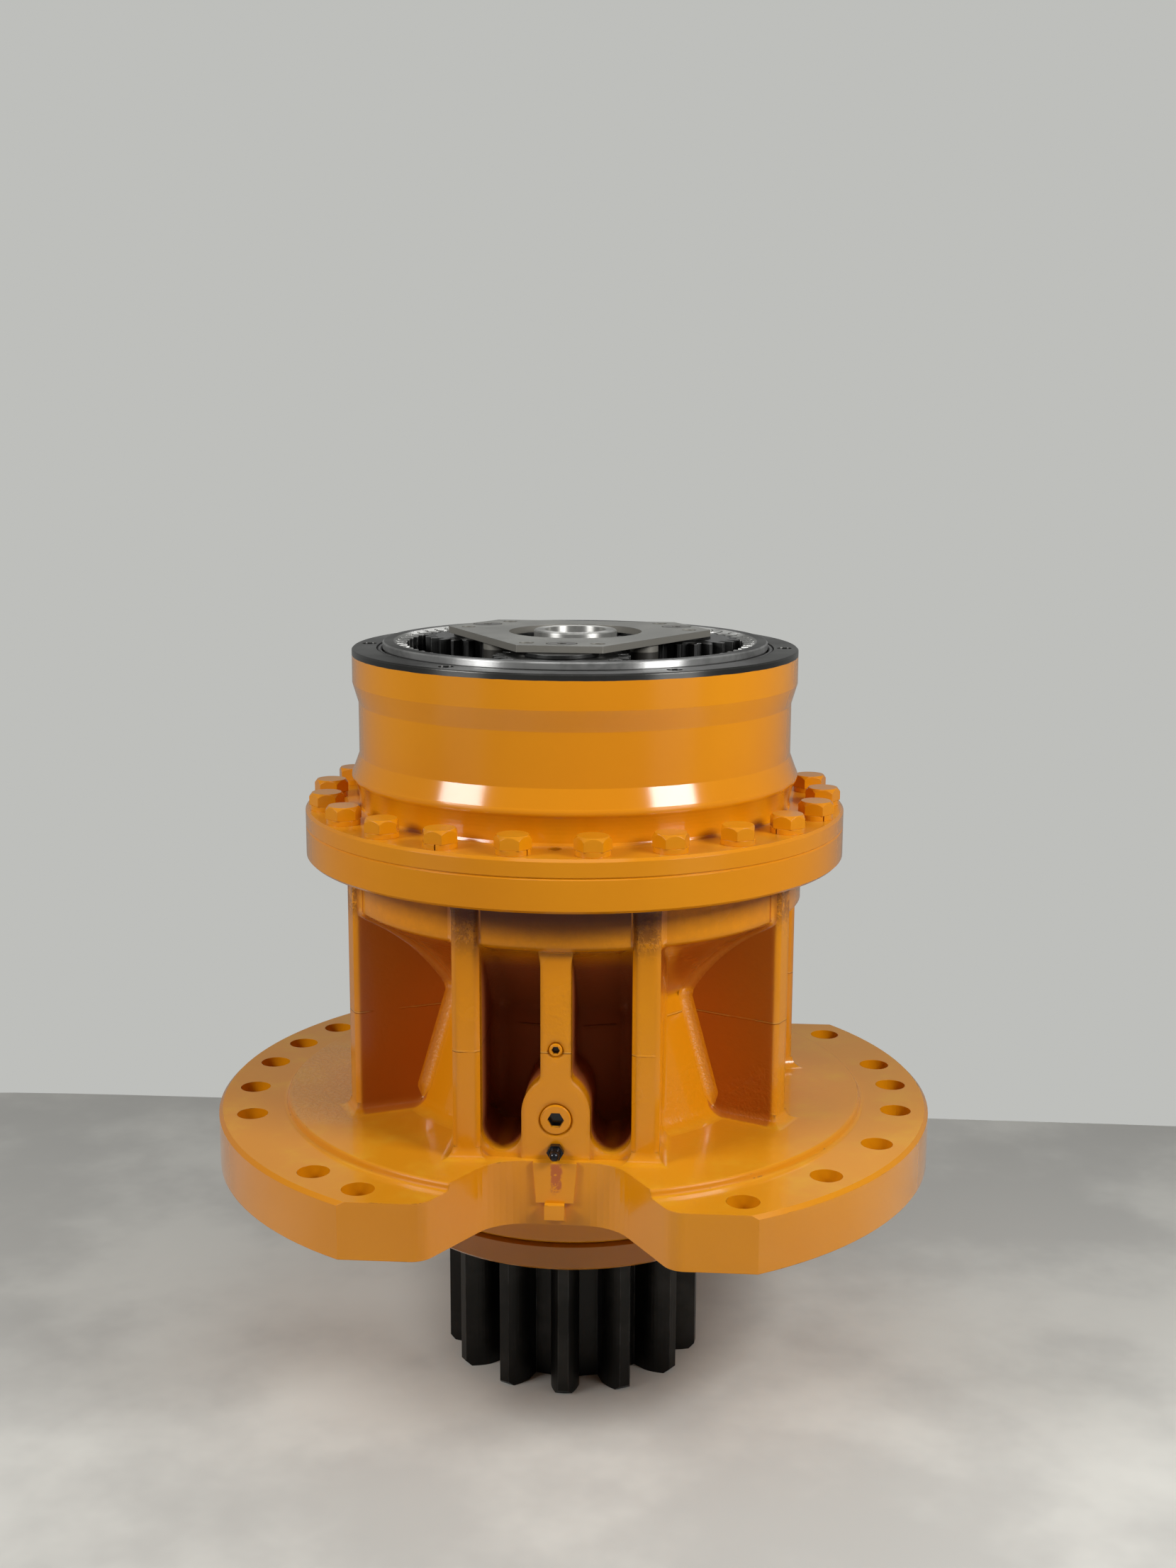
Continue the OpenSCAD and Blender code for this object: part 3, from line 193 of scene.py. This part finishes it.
base_top, pad_top, waist, band_foot, flange_under = 0.044, 0.050, 0.147, 0.212, 0.249
pad_step_reach, parting_height = 0.2370, 0.133
crust_rise, shade_rise, pocket_fade = (0.2000, 0.2250), (0.2170, 0.2390), (0.2090, 0.1840)
rib_reach, side_rib_angle = 0.189, 63.5
front_rib_outside, pocket_half, boss_front = 0.0740, 0.0582, -0.1770
cast_edge, pad_edge = 0.0068, 0.0025
bay_shade_red, pocket_shade_red = (0.330, 0.057, 0.016), (0.270, 0.070, 0.028)
crust_brown, parting_glint = (0.130, 0.036, 0.009), (0.90, 0.50, 0.10)
flange_shade, sand_ochre = (0.100, 0.022, 0.005), (0.720, 0.370, 0.100)
streak_red = (0.36, 0.060, 0.022)


def shaded_hollow(look):
    """1 on the hollow curve above the waist, outside the front ribs, where shade is painted."""
    hollow = look.step(look.z, waist + 0.0010, waist + 0.0070)
    hollow = hollow * look.step(look.z, band_foot + 0.0030, band_foot - 0.0005)
    hollow = hollow * look.step(look.reach, rib_reach - 0.0045, rib_reach - 0.0090)
    return hollow * look.step(abs(look.x), front_rib_outside - 0.0040, front_rib_outside)


def pocket_shade(look):
    """1 on the walls and the back of the two pockets beside the boss, where shade is painted."""
    depth = look.step(abs(look.x), pocket_half, pocket_half - 0.0008)
    depth = depth * look.step(look.y, -0.1640, -0.1560) * look.step(look.y, -0.0900, -0.1000)
    depth = depth * look.step(look.z, pad_top + 0.0030, pad_top + 0.0060)
    return depth * look.step(look.z, *pocket_fade)


def sand_patch(look):
    """1 where moulding sand shows through at the left of the pad, with a ragged border."""
    ragged = look.x + (look.noise(30, 3) - 0.5) * 0.03
    patch = look.step(ragged, -0.150, -0.172) * look.step(look.reach, 0.2350, 0.2335)
    patch = patch * look.step(look.z, pad_top - 0.0010, pad_top - 0.0003)
    patch = patch * look.step(look.z, pad_top + 0.0030, pad_top + 0.0010)
    return patch * look.step(look.y, -0.125, -0.105) * look.step(look.y, 0.09, 0.06)


def red_streak(look):
    """1 on the red streak that ran down the boss under the nipple and has worn off in places."""
    wavy = look.x - 0.0010 + (look.noise(260, 2) - 0.5) * 0.004
    streak = look.step(abs(wavy), 0.0048, 0.0030)
    streak = streak * look.step(look.y, boss_front, boss_front - 0.0006)
    streak = streak * look.step(look.z, 0.0230, 0.0300) * look.step(look.z, 0.0500, 0.0480)
    return streak * look.step(look.noise(240, 3, 0.6) + (look.z - 0.030) * 12.0, 0.44, 0.56)


look = Look("casing enamel")
walls = look.step(look.z, pad_top - 0.0006, pad_top + 0.0012)
walls = walls * look.step(look.z, flange_under, flange_under - 0.0015)
walls = walls * look.step(look.reach, pad_step_reach - 0.005, pad_step_reach - 0.015)
cast = walls * (0.22 + look.step(look.noise(9, 2), 0.50, 0.64) * 0.78)
pad_step = look.step(abs(look.reach - pad_step_reach), 0.0050, 0.0040)
pad_step = pad_step * look.step(look.z, base_top - 0.0010, base_top - 0.0005)
rounding = walls * (cast_edge - machined_edge) + pad_step * (pad_edge - machined_edge)
paint = enamel(look, cast, 0.60, machined_edge + rounding)
colour = paint["Base_Color"]

# Painted shade: the front sides of the two side ribs and the hollow above the waist lie in shade,
# so they are darkened to a deep red.
turn = math.radians(side_rib_angle)
off_rib = abs(look.x) * math.cos(turn) + look.y * math.sin(turn)
shaded_rib_side = look.step(abs(off_rib + 0.0120), 0.0045, 0.0025) * walls
shaded_rib_side = shaded_rib_side * look.step(look.reach, rib_reach - 0.0020, rib_reach - 0.0050)
bay_shade = (shaded_rib_side * 0.60).math("MAXIMUM", shaded_hollow(look) * 0.60)
colour = look.mix(bay_shade, colour, bay_shade_red)

# A brown crust clings to the outer edges of the ribs near the flange.
crust = look.step(look.z, *crust_rise) * walls
crust = crust * look.step(look.reach, rib_reach - 0.0060, rib_reach - 0.0040)
crust = crust * look.step(look.noise(110, 5, 0.75), 0.40, 0.56)
colour = look.mix(crust * 0.60, colour, crust_brown)

# The mould's parting line runs round the walls: a real ridge in the bump, and a paler line in the
# colour that is a painted glint.
parting = look.step(abs(look.z - parting_height), 0.0010, 0.0002) * walls
parting = parting * look.step(look.noise(30, 2), 0.35, 0.50)
colour = look.mix(parting * 0.3, colour, parting_glint)

# Painted shadow: between the front ribs the body is darkened under the flange, where its shadow
# falls.
flange_shadow = look.step(abs(look.x), 0.0900, 0.0650) * look.step(look.y, -0.10, -0.12)
flange_shadow = flange_shadow * look.step(look.z, *shade_rise) * walls
colour = look.mix(flange_shadow * 0.92, colour, flange_shade)

# Grains of moulding sand on the pad, painted shade in the pockets, and the streak on the boss.
sand = sand_patch(look)
grains = look.step(look.noise(300, 4, 0.7), 0.44, 0.56)
colour = look.mix(sand * (0.60 - grains * 0.35), colour, sand_ochre)
shaded_pocket = pocket_shade(look)
colour = look.mix(shaded_pocket * 0.88, colour, pocket_shade_red)
paint["Base_Color"] = look.mix(red_streak(look) * 0.75, colour, streak_red)
paint["Roughness"] = paint["Roughness"] + shaded_pocket * 0.30
paint["Coat_Weight"] = paint["Coat_Weight"] * (1 - shaded_pocket) * (1 - shaded_rib_side * 0.6)
relief = parting * 1.2 - crust * 0.6 - sand * grains * 0.2
paint["Normal"] = look.bump(relief, 0.0010, paint["Normal"])
dress(look.surface(**paint), "casing")


# Cast fillets: where a rib or the boss meets the body of the casing the mould was rounded, so the
# iron fills the corner with a hollow curve that runs from the base up to the flange. Each is a
# three-sided bar, worked out from the rib's side and from the body's profile, in its corner.
bar_foot, bar_points, arc_points = 0.0555, 60, 7
pocket_back, cove_radius, cove_height, cove_centre = 0.112, 0.160, 0.0654, 0.2446
rib_half, rib_flare, rib_tip_edge = 0.01025, 0.0084, 0.0015
fillet_radius, least_room, foot_taper = 0.009, 0.002, 0.012
tucked_under, tucked_aside = 0.0006, 0.0004
front_rib_x = rib_reach * math.sin(math.radians(20.6))
front_rib_y = rib_reach * math.cos(math.radians(20.6))
side_ribs = -153, -108, -side_rib_angle, side_rib_angle, 108, 153


def body_reach(z, pocket):
    """Radius of the casing's body at height z: straight lines for the foot and the cone up to the
    waist, then a circle round a centre outside the wall, and straight lines again for the chamfer
    and the band. Beside the boss the cone is cut back to the pockets."""
    cone = np.interp(z, [pad_top, 0.0532, 0.0572, waist], [0.151, 0.1415, 0.135, 0.107])
    cone = np.minimum(cone, pocket_back) if pocket else cone
    drop = np.maximum(cove_radius**2 - (z - cove_height) ** 2, 1e-6)
    cove = cove_centre - np.sqrt(drop)
    band = np.interp(z, [band_foot, 0.215, 0.244, flange_under], [0.1805, 0.1835, 0.1835, 0.1875])
    return np.where(z < waist, cone, np.where(z < band_foot, cove, band))


def side_reach(z, half):
    """Distance from a rib's middle plane to its side at height z: half its thickness, and within
    rib_flare of either end also the rise of a quarter circle of that radius."""
    near = np.minimum(z - pad_top, flange_under - z)
    rise = np.clip(rib_flare - near, 0, rib_flare)
    return half + rib_flare - np.sqrt(rib_flare**2 - rise**2)


def fillet_bar(wall, z, tip, angle, side, pocket=False):
    """Three-sided bar up the corner between a rib's wall and the round body, outside the wall or,
    in a pocket, inside it. The rib ends at tip. At each height the outer face is an arc that
    touches both: its centre lies one radius off the wall and one radius off the body. The third
    edge lies just under the surface in the corner. The rows are turned to the rib's angle, and side
    mirrors them."""
    body = body_reach(z, pocket)
    away = -1 if pocket else 1
    foot = np.sqrt(body**2 - wall**2)
    room = np.clip(tip + side_reach(z, 0) - rib_tip_edge - foot, least_room, None)
    radius = np.minimum(fillet_radius, room * (0.5 if pocket else 0.8))
    radius = radius * np.clip((z - bar_foot) / foot_taper, 0.04, 1)
    across = wall + away * radius
    out = np.sqrt((body + radius) ** 2 - across**2)
    start = 2 * math.pi if pocket else math.pi
    end = np.arctan2(-out, -across) % (2 * math.pi)
    turn = start + (end - start)[:, None] * np.linspace(0, 1, arc_points)
    arc_u = across[:, None] + radius[:, None] * np.cos(turn)
    arc_v = out[:, None] + radius[:, None] * np.sin(turn)
    u = np.column_stack([arc_u, wall - away * tucked_aside])
    v = np.column_stack([arc_v, foot - tucked_under])
    a = math.radians(angle)
    x = side * u * math.cos(a) + v * math.sin(a)
    y = side * u * math.sin(a) - v * math.cos(a)
    points = np.stack([x, y, np.broadcast_to(z[:, None], x.shape)], 2).reshape(-1, 3)
    index = np.arange(x.size).reshape(x.shape)
    low, high = index[:-1], index[1:]
    quads = np.stack([low, np.roll(low, -1, 1), np.roll(high, -1, 1), high], 2).reshape(-1, 4)
    facing = side * away
    ends = [index[0][::facing], index[-1][::-facing]]
    return points, quads[:, ::-facing].tolist() + [cap.tolist() for cap in ends]


def made_of(name, points, faces, material):
    """An object at the origin from points and faces, in one material."""
    mesh = bpy.data.meshes.new(name)
    mesh.from_pydata(points.tolist(), [], faces)
    mesh.materials.append(material)
    thing = bpy.data.objects.new(name, mesh)
    bpy.context.scene.collection.objects.link(thing)
    return thing


heights = (1 - np.cos(np.linspace(0, math.pi, bar_points))) / 2
heights = bar_foot + (flange_under - bar_foot) * heights
half = side_reach(heights, rib_half)
bars = []
for side in (-1, 1):
    bars.append(fillet_bar(front_rib_x + half, heights, front_rib_y, 0, side))
    bars.append(fillet_bar(front_rib_x - half, heights, front_rib_y, 0, side, pocket=True))
    bars += [fillet_bar(half, heights, rib_reach, angle, side) for angle in side_ribs]
bar_starts = np.cumsum([0] + [len(points) for points, _ in bars]).tolist()
faces = [[start + i for i in face] for start, (_, sides) in zip(bar_starts, bars) for face in sides]

# The bump's height also falls with z, which leans the shading of the fillets up a little.
look = Look("cast fillet enamel")
grain = look.noise(330, 3, 0.6)
# Painted shade as on the casing: deep red on the hollow above the waist and in the pockets.
shaded_pocket = pocket_shade(look)
colour = look.mix(shaded_hollow(look) * 0.60, enamel_colour(look), bay_shade_red)
skin, lean, crease = 0.0010, 0.13, 0.7
enamelled = look.surface(
    Base_Color=look.mix(shaded_pocket * 0.88, colour, pocket_shade_red),
    Roughness=0.27 + grain * 0.05 + shaded_pocket * 0.30, Specular_IOR_Level=0.15,
    Coat_Weight=1 - shaded_pocket, Coat_IOR=1.7, Coat_Roughness=0.08,
    Normal=look.bump(grain * 0.7 - look.z * (lean / skin), skin,
                     look.add("ShaderNodeNewGeometry", out="Normal")))
fillets = made_of("cast_fillets", np.vstack([points for points, _ in bars]), faces, enamelled)
fillets.data.shade_smooth()
fillets.data.set_sharp_from_angle(angle=crease)
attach(fillets, "housing")


# Ring gear: forged steel, turned all over and toothed inside. The outside was sprayed after the
# joint was closed. The masked rim, the motor's face, the lip and the teeth stayed bare, dark with
# oil and bright only on the lip's wall and the tips of the teeth, where the tool went over last.
masked_from, face_height, tooth_ends = 0.4092, 0.4140, 0.4160
screw_holes_inside, screw_hole_floor = 0.1740, 0.3860
lip_outside, lip_wall_from, bore_outside, teeth_outside = 0.1540, 0.1517, 0.1500, 0.1450
bright_steel, tooth_tips, worn_edge = (0.55, 0.55, 0.54), (0.50, 0.50, 0.48), (0.34, 0.33, 0.31)
face_steel, lip_steel = (0.065, 0.065, 0.063), (0.040, 0.040, 0.039)
oil_smudge, toothed_bore = (0.050, 0.048, 0.045), (0.020, 0.020, 0.021)


def turned(look):
    """Fine rings that a turning tool leaves, as a height that changes with reach and z alone."""
    line = look.add("ShaderNodeCombineXYZ", {}, {0: look.reach, 1: look.z * 0.6})
    return look.noise(1500, 1, 0.5, line)


look = Look("ring gear enamel and steel")
spray_edge = look.z + look.noise(70, 2) * 0.0007
inner = look.step(look.reach, bore_outside, bore_outside - 0.0008)
holes = look.step(look.reach, screw_holes_inside, screw_holes_inside - 0.0010)
holes = holes * look.step(look.z, screw_hole_floor, screw_hole_floor + 0.0005)
inner = inner.math("MAXIMUM", holes)
bare = look.step(spray_edge, masked_from, masked_from + 0.0004).math("MAXIMUM", inner)
lip = look.step(look.reach, lip_outside, lip_outside - 0.0005)
lip = lip * look.step(look.z, face_height - 0.0020, face_height - 0.0005)
tips = look.step(look.reach, teeth_outside, teeth_outside - 0.0010)
tips = tips * look.step(look.z, tooth_ends, tooth_ends + 0.0008)
smudge = look.step(look.noise(26, 4, 0.6), 0.42, 0.66)
worn = look.step(look.edge(look.rounded(0.0006)), 0.01, 0.08)
steel = look.mix(lip, face_steel, lip_steel)
lip_wall = lip * look.step(look.reach, lip_wall_from, lip_wall_from + 0.0006)
steel = look.mix(lip_wall, steel, bright_steel)
steel = look.mix(tips, steel, tooth_tips)
steel = look.mix(smudge * 0.5, steel, oil_smudge)
down_inside = inner * look.step(look.z, face_height - 0.0035, face_height - 0.0055)
steel = look.mix(down_inside, steel, toothed_bore)
steel = look.mix(worn * 0.4, steel, worn_edge)
paint = enamel(look, chip=0.74)
paint.update(
    Base_Color=look.mix(bare, paint["Base_Color"], steel),
    Roughness=paint["Roughness"] * (1 - bare) + bare * (0.30 + smudge * 0.08),
    Metallic=bare * 0.85, Anisotropic=0.95, Anisotropic_Rotation=0.25,
    Coat_Weight=paint["Coat_Weight"] * (1 - bare),
    Normal=look.bump(bare * turned(look), 0.00003, paint["Normal"]))
dress(look.surface(**paint), "ring_gear")


# Joint bolts and their spring washers: standard hexagon bolts that were tightened before the
# gearbox was sprayed, so the enamel runs over heads and washers, thin and chipped on the corners.
look = Look("bolt enamel")
dress(look.surface(**enamel(look, chip=0.66)), "flange_bolts", "spring_washers")


# Retainer under the base flange: a turned ring, screwed on from below and sprayed with the rest,
# with the black screws and the rubber lip of the oil seal inside it. The two other seals are of
# the same rubber.
look = Look("retainer enamel in painted shade")
paint = enamel(look)
# Painted shade: the enamel is darkened to a deep brown, as the base flange above keeps the light
# off it.
paint["Base_Color"] = look.mix(0.45, paint["Base_Color"], (0.200, 0.055, 0.010))
dress(look.surface(**paint), "retainer")

look = Look("black screws")
soft = look.rounded(0.0004)
worn = look.step(look.edge(soft), 0.02, 0.12)
dress(look.surface(
    Base_Color=look.mix(worn, (0.020, 0.020, 0.021), (0.12, 0.12, 0.12)), Metallic=0.6,
    Roughness=0.35 + look.noise(90, 3) * 0.15, Normal=soft), "retainer_screws_set")

look = Look("seal rubber")
dress(look.surface(
    Base_Color=look.mix(look.noise(40, 3), (0.012, 0.012, 0.012), (0.022, 0.021, 0.020)),
    Roughness=0.42 + look.noise(200, 2) * 0.2,
    Normal=look.bump(look.noise(900, 2), 0.00005, look.rounded(0.0005))),
    "oil_seal", "joint_seal", "lip_seal")


# Plugs and grease nipple: two socket plugs that were sprayed in place, with dark sockets that the
# spray didn't reach, and a black grease nipple that was screwed in later.
look = Look("plug enamel")
paint = enamel(look, chip=0.60, edge_radius=0.0009)
in_socket = look.step(look.y, boss_front + 0.0035, boss_front + 0.0060)
paint["Base_Color"] = look.mix(in_socket, paint["Base_Color"], (0.012, 0.010, 0.009))
dress(look.surface(**paint), "drain_plug", "level_plug")

look = Look("black nipple")
dress(look.surface(
    Base_Color=look.mix(look.noise(300, 3), (0.010, 0.010, 0.012), (0.030, 0.030, 0.034)),
    Metallic=0.7, Roughness=0.18 + look.noise(250, 2) * 0.12,
    Normal=look.rounded(0.0005)), "grease_nipple")


# Output shaft with the pinion: case hardened steel, blackened by its heat treatment and by oil,
# with cutter marks along the teeth and bright corners where they were handled.
def dark_gear(name, tone, metal=0.85, rough=0.34):
    """Dark oiled gear steel: marks that run along the teeth, stains and bright worn corners."""
    look = Look(name)
    soft = look.rounded(0.0007)
    marks = look.noise(540, 3, 0.6, look.drawn_out(1.0, 1.0, 0.08))
    stain = look.noise(22, 4, 0.6)
    stained = tuple(channel * 1.9 for channel in tone)
    bright = tuple(channel * 4 + 0.10 for channel in tone)
    colour = look.mix(look.step(stain, 0.40, 0.70), tone, stained)
    worn = look.step(look.edge(soft), 0.02, 0.10) * look.step(look.noise(45, 3), 0.35, 0.6)
    return look.surface(
        Base_Color=look.mix(worn * 0.7, colour, bright), Metallic=metal,
        Roughness=rough + stain * 0.16, Normal=look.bump(marks, 0.00012, soft))


dress(dark_gear("pinion steel", (0.015, 0.014, 0.0125), 0.75, 0.32), "pinion_shaft")


# Main bearings, sleeve, lock washer, dowel pins and the planets' needles: ground steel. The
# bearings' cages, the lower thrust washers and the discs under the sun gears are bronze. The casing
# and the gears hide them.
look = Look("ground bearing steel")
film = look.noise(30, 3)
dress(look.surface(
    Base_Color=look.mix(film, (0.40, 0.40, 0.39), (0.52, 0.52, 0.50)), Metallic=1.0,
    Roughness=0.20 + film * 0.12, Normal=look.bump(turned(look), 0.00003, look.rounded(0.0004))),
    "lower_bearing_outer", "upper_bearing_outer", "lower_bearing_inner", "upper_bearing_inner",
    "lower_rollers", "upper_rollers", "spacer_sleeve", "lock_washer", "dowel_pins",
    *("%s_needles_%s" % (stage, planet) for stage in ("lower", "upper") for planet in "abc"))

look = Look("bronze")
film = look.noise(35, 4)
dress(look.surface(
    Base_Color=look.mix(film, (0.36, 0.22, 0.075), (0.46, 0.30, 0.12)), Metallic=1.0,
    Roughness=0.32 + film * 0.15, Normal=look.bump(turned(look), 0.00004, look.rounded(0.0005))),
    "lower_cage", "upper_cage", "lower_thrust_washers", "shaft_disc", "sun_disc")


# Both planetary stages: hardened gears between two steel plates. They are wet with oil, so the
# teeth are nearly black and only their corners catch the light. The top plate is drier and paler,
# with fine scratches, and the ends of the upper planets' pins stand in it.
plate_under, plate_top = 0.4140, 0.4256
dress(dark_gear("lower stage steel", (0.060, 0.060, 0.058)),
      "shaft_nut", "lower_carrier", "carrier_ring", "lower_planet_pins", "sun_ring",
      "lower_planet_a", "lower_planet_b", "lower_planet_c", "lower_sun")
dress(dark_gear("upper planet steel", (0.035, 0.035, 0.034), 0.85, 0.30),
      "upper_planet_a", "upper_planet_b", "upper_planet_c", "upper_thrust_washers")

look = Look("top plate steel")
soft = look.rounded(0.0006)
stain = look.noise(16, 5, 0.6)
scratches = look.noise(700, 2, 0.5, look.drawn_out(1.0, 0.06, 1.0))
on_top = look.step(look.z, plate_top - 0.0004, plate_top)
top = look.mix(look.step(stain, 0.35, 0.70), (0.135, 0.134, 0.119), (0.215, 0.213, 0.192))
sides = look.mix(look.step(look.z, plate_under, plate_under + 0.0010),
                 (0.040, 0.037, 0.032), (0.200, 0.190, 0.165))
worn = look.step(look.edge(soft), 0.02, 0.1)
dress(look.surface(
    Base_Color=look.mix(worn * 0.5, look.mix(on_top, sides, top), (0.45, 0.44, 0.40)),
    Metallic=0.40, Roughness=0.36 + stain * 0.2,
    Normal=look.bump(scratches, 0.00005, soft)), "upper_carrier")

look = Look("pin steel")
stain = look.noise(60, 4, 0.6)
dress(look.surface(
    Base_Color=look.mix(look.step(stain, 0.4, 0.65), (0.045, 0.043, 0.040), (0.13, 0.125, 0.11)),
    Metallic=0.7, Roughness=0.34 + stain * 0.15,
    Normal=look.bump(turned(look), 0.00004, look.rounded(0.0005))), "upper_planet_pins")


# Upper sun gear: the hub ring that takes the motor's shaft stands in the hole of the top plate.
# Its rim and bore were ground, so it is the brightest steel on the gearbox.
ground_from = 0.4165
look = Look("hub steel")
stain = look.noise(40, 4, 0.6)
colour = look.mix(look.step(look.z, ground_from, ground_from + 0.0015),
                  (0.040, 0.040, 0.039), (0.52, 0.515, 0.49))
dress(look.surface(
    Base_Color=look.mix(look.step(stain, 0.5, 0.75) * 0.5, colour, (0.07, 0.066, 0.058)),
    Metallic=0.85, Roughness=0.32 + stain * 0.14, Anisotropic=0.85, Anisotropic_Rotation=0.25,
    Normal=look.bump(turned(look), 0.00002, look.rounded(0.0006))), "upper_sun")


# Floor and backdrop: a wide pale table top with rounded corners under the gearbox, whose far edge
# is where the photograph shows it, and a plain pale room behind it.
table_half_width, table_half_depth, table_middle = 0.95, 0.83, -0.289
table_edge = (0.30, 0.0), (0.70, 0.0), (0.997, 0.0), (1.0, 0.003), (1.0, 0.030)
table_corner, table_points = 10, 128
pale_room, room_in_gloss = (0.515, 0.52, 0.50), 0.38
fill_colour, fill_level = (0.92, 0.95, 1.0), 0.04

look = Look("pale floor")
smudge = look.noise(3.0, 5, 0.6)
colour = look.mix(look.step(smudge, 0.38, 0.62), (0.545, 0.54, 0.505), (0.69, 0.685, 0.635))
table_top = look.surface(Base_Color=colour, Roughness=0.75 + smudge * 0.1)

# The outline is a superellipse: |x|^10 + |y|^10 = 1, widened to the table's size. The rings are
# shares of it, each with its drop, from the middle out to the edge and down.
turn = np.linspace(0, 2 * math.pi, table_points + 1)[:-1]
outline = (np.cos(turn)**table_corner + np.sin(turn)**table_corner) ** (-1 / table_corner)
share, drop = np.array(table_edge).T
rings = np.stack([
    np.outer(share, np.cos(turn) * outline) * table_half_width,
    np.outer(share, np.sin(turn) * outline) * table_half_depth + table_middle,
    np.outer(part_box("pinion_shaft")[0][2] - drop, np.ones(table_points))], 2)
index = np.arange(share.size * table_points).reshape(-1, table_points)
ring, next_ring = index[:-1], index[1:]
faces = np.stack([ring, next_ring, np.roll(next_ring, -1, 1), np.roll(ring, -1, 1)], 2)
faces = faces.reshape(-1, 4).tolist() + [index[0].tolist()]
made_of("floor", rings.reshape(-1, 3), faces, table_top)

world = bpy.data.worlds.new("pale room")
bpy.context.scene.world = world
room = Nodes(world)
rays = room.add("ShaderNodeLightPath", out=None).outputs
seen = Field(room, rays["Is Camera Ray"]).math(
    "MAXIMUM", Field(room, rays["Is Glossy Ray"]) * room_in_gloss)
fill = room.add("ShaderNodeBackground", {}, {"Color": (*fill_colour, 1), "Strength": fill_level})
backdrop = room.add("ShaderNodeBackground", {}, {"Color": (*pale_room, 1), "Strength": 1.0})
both = room.add("ShaderNodeMixShader", {}, {0: seen, 1: fill, 2: backdrop})
room.add("ShaderNodeOutputWorld", {}, {"Surface": both}, None)


# Studio light and camera: two soft boxes in front, one on each side, and two dim ones above and
# behind. The camera stands where the photograph was taken, slightly above the gearbox and right of
# its boss.
gearbox_middle = np.array([0, 0, 0.25])


def soft_box(name, azimuth, elevation, distance, size, power):
    """An area lamp at that azimuth from -Y and elevation, turned towards the gearbox's middle."""
    a, e = math.radians(azimuth), math.radians(elevation)
    back = np.array([math.sin(a) * math.cos(e), -math.cos(a) * math.cos(e), math.sin(e)])
    side = np.cross([0, 0, 1.0], back)
    side /= np.linalg.norm(side)
    lamp = bpy.data.lights.new(name, "AREA")
    lamp.shape = "RECTANGLE"
    lamp.size, lamp.size_y = size
    lamp.energy = power
    thing = bpy.data.objects.new(name, lamp)
    thing.location = gearbox_middle + back * distance
    axes = np.stack([side, np.cross(back, side), back])
    thing.rotation_euler = Matrix(axes.T.tolist()).to_euler()
    bpy.context.scene.collection.objects.link(thing)


soft_box("soft_box_left", -55.0, 28, 1.9, (0.72, 0.50), 23.6)
soft_box("soft_box_right", 54.5, 28, 1.35, (0.50, 0.36), 15.3)
soft_box("top_light", 0, 75, 2.2, (1.2, 1.2), 5)
soft_box("back_light", 180, 38, 2.4, (1.4, 0.8), 8)

pitch, heading, roll = math.radians(10.775), math.radians(4.087), math.radians(0.230)
photo_height, focal_pixels, film = 2212, 2619.63, 36.0
standpoint = (0.1160, -1.4745, 0.5829)
ahead = np.array([-math.sin(heading) * math.cos(pitch), math.cos(heading) * math.cos(pitch),
                  -math.sin(pitch)])
level = np.array([math.cos(heading), math.sin(heading), 0.0])
upright = np.cross(level, ahead)
right = level * math.cos(roll) + upright * math.sin(roll)
above = upright * math.cos(roll) - level * math.sin(roll)
lens = bpy.data.cameras.new("camera")
lens.sensor_fit = "AUTO"
lens.sensor_width = film
lens.lens = focal_pixels / photo_height * film
lens.clip_start, lens.clip_end = 0.05, 50
camera = bpy.data.objects.new("camera", lens)
camera.rotation_mode = "QUATERNION"
camera.rotation_quaternion = Matrix(np.stack([right, above, -ahead]).T.tolist()).to_quaternion()
camera.location = standpoint
bpy.context.scene.collection.objects.link(camera)
bpy.context.scene.camera = camera
bpy.context.scene.view_settings.view_transform = "Standard"
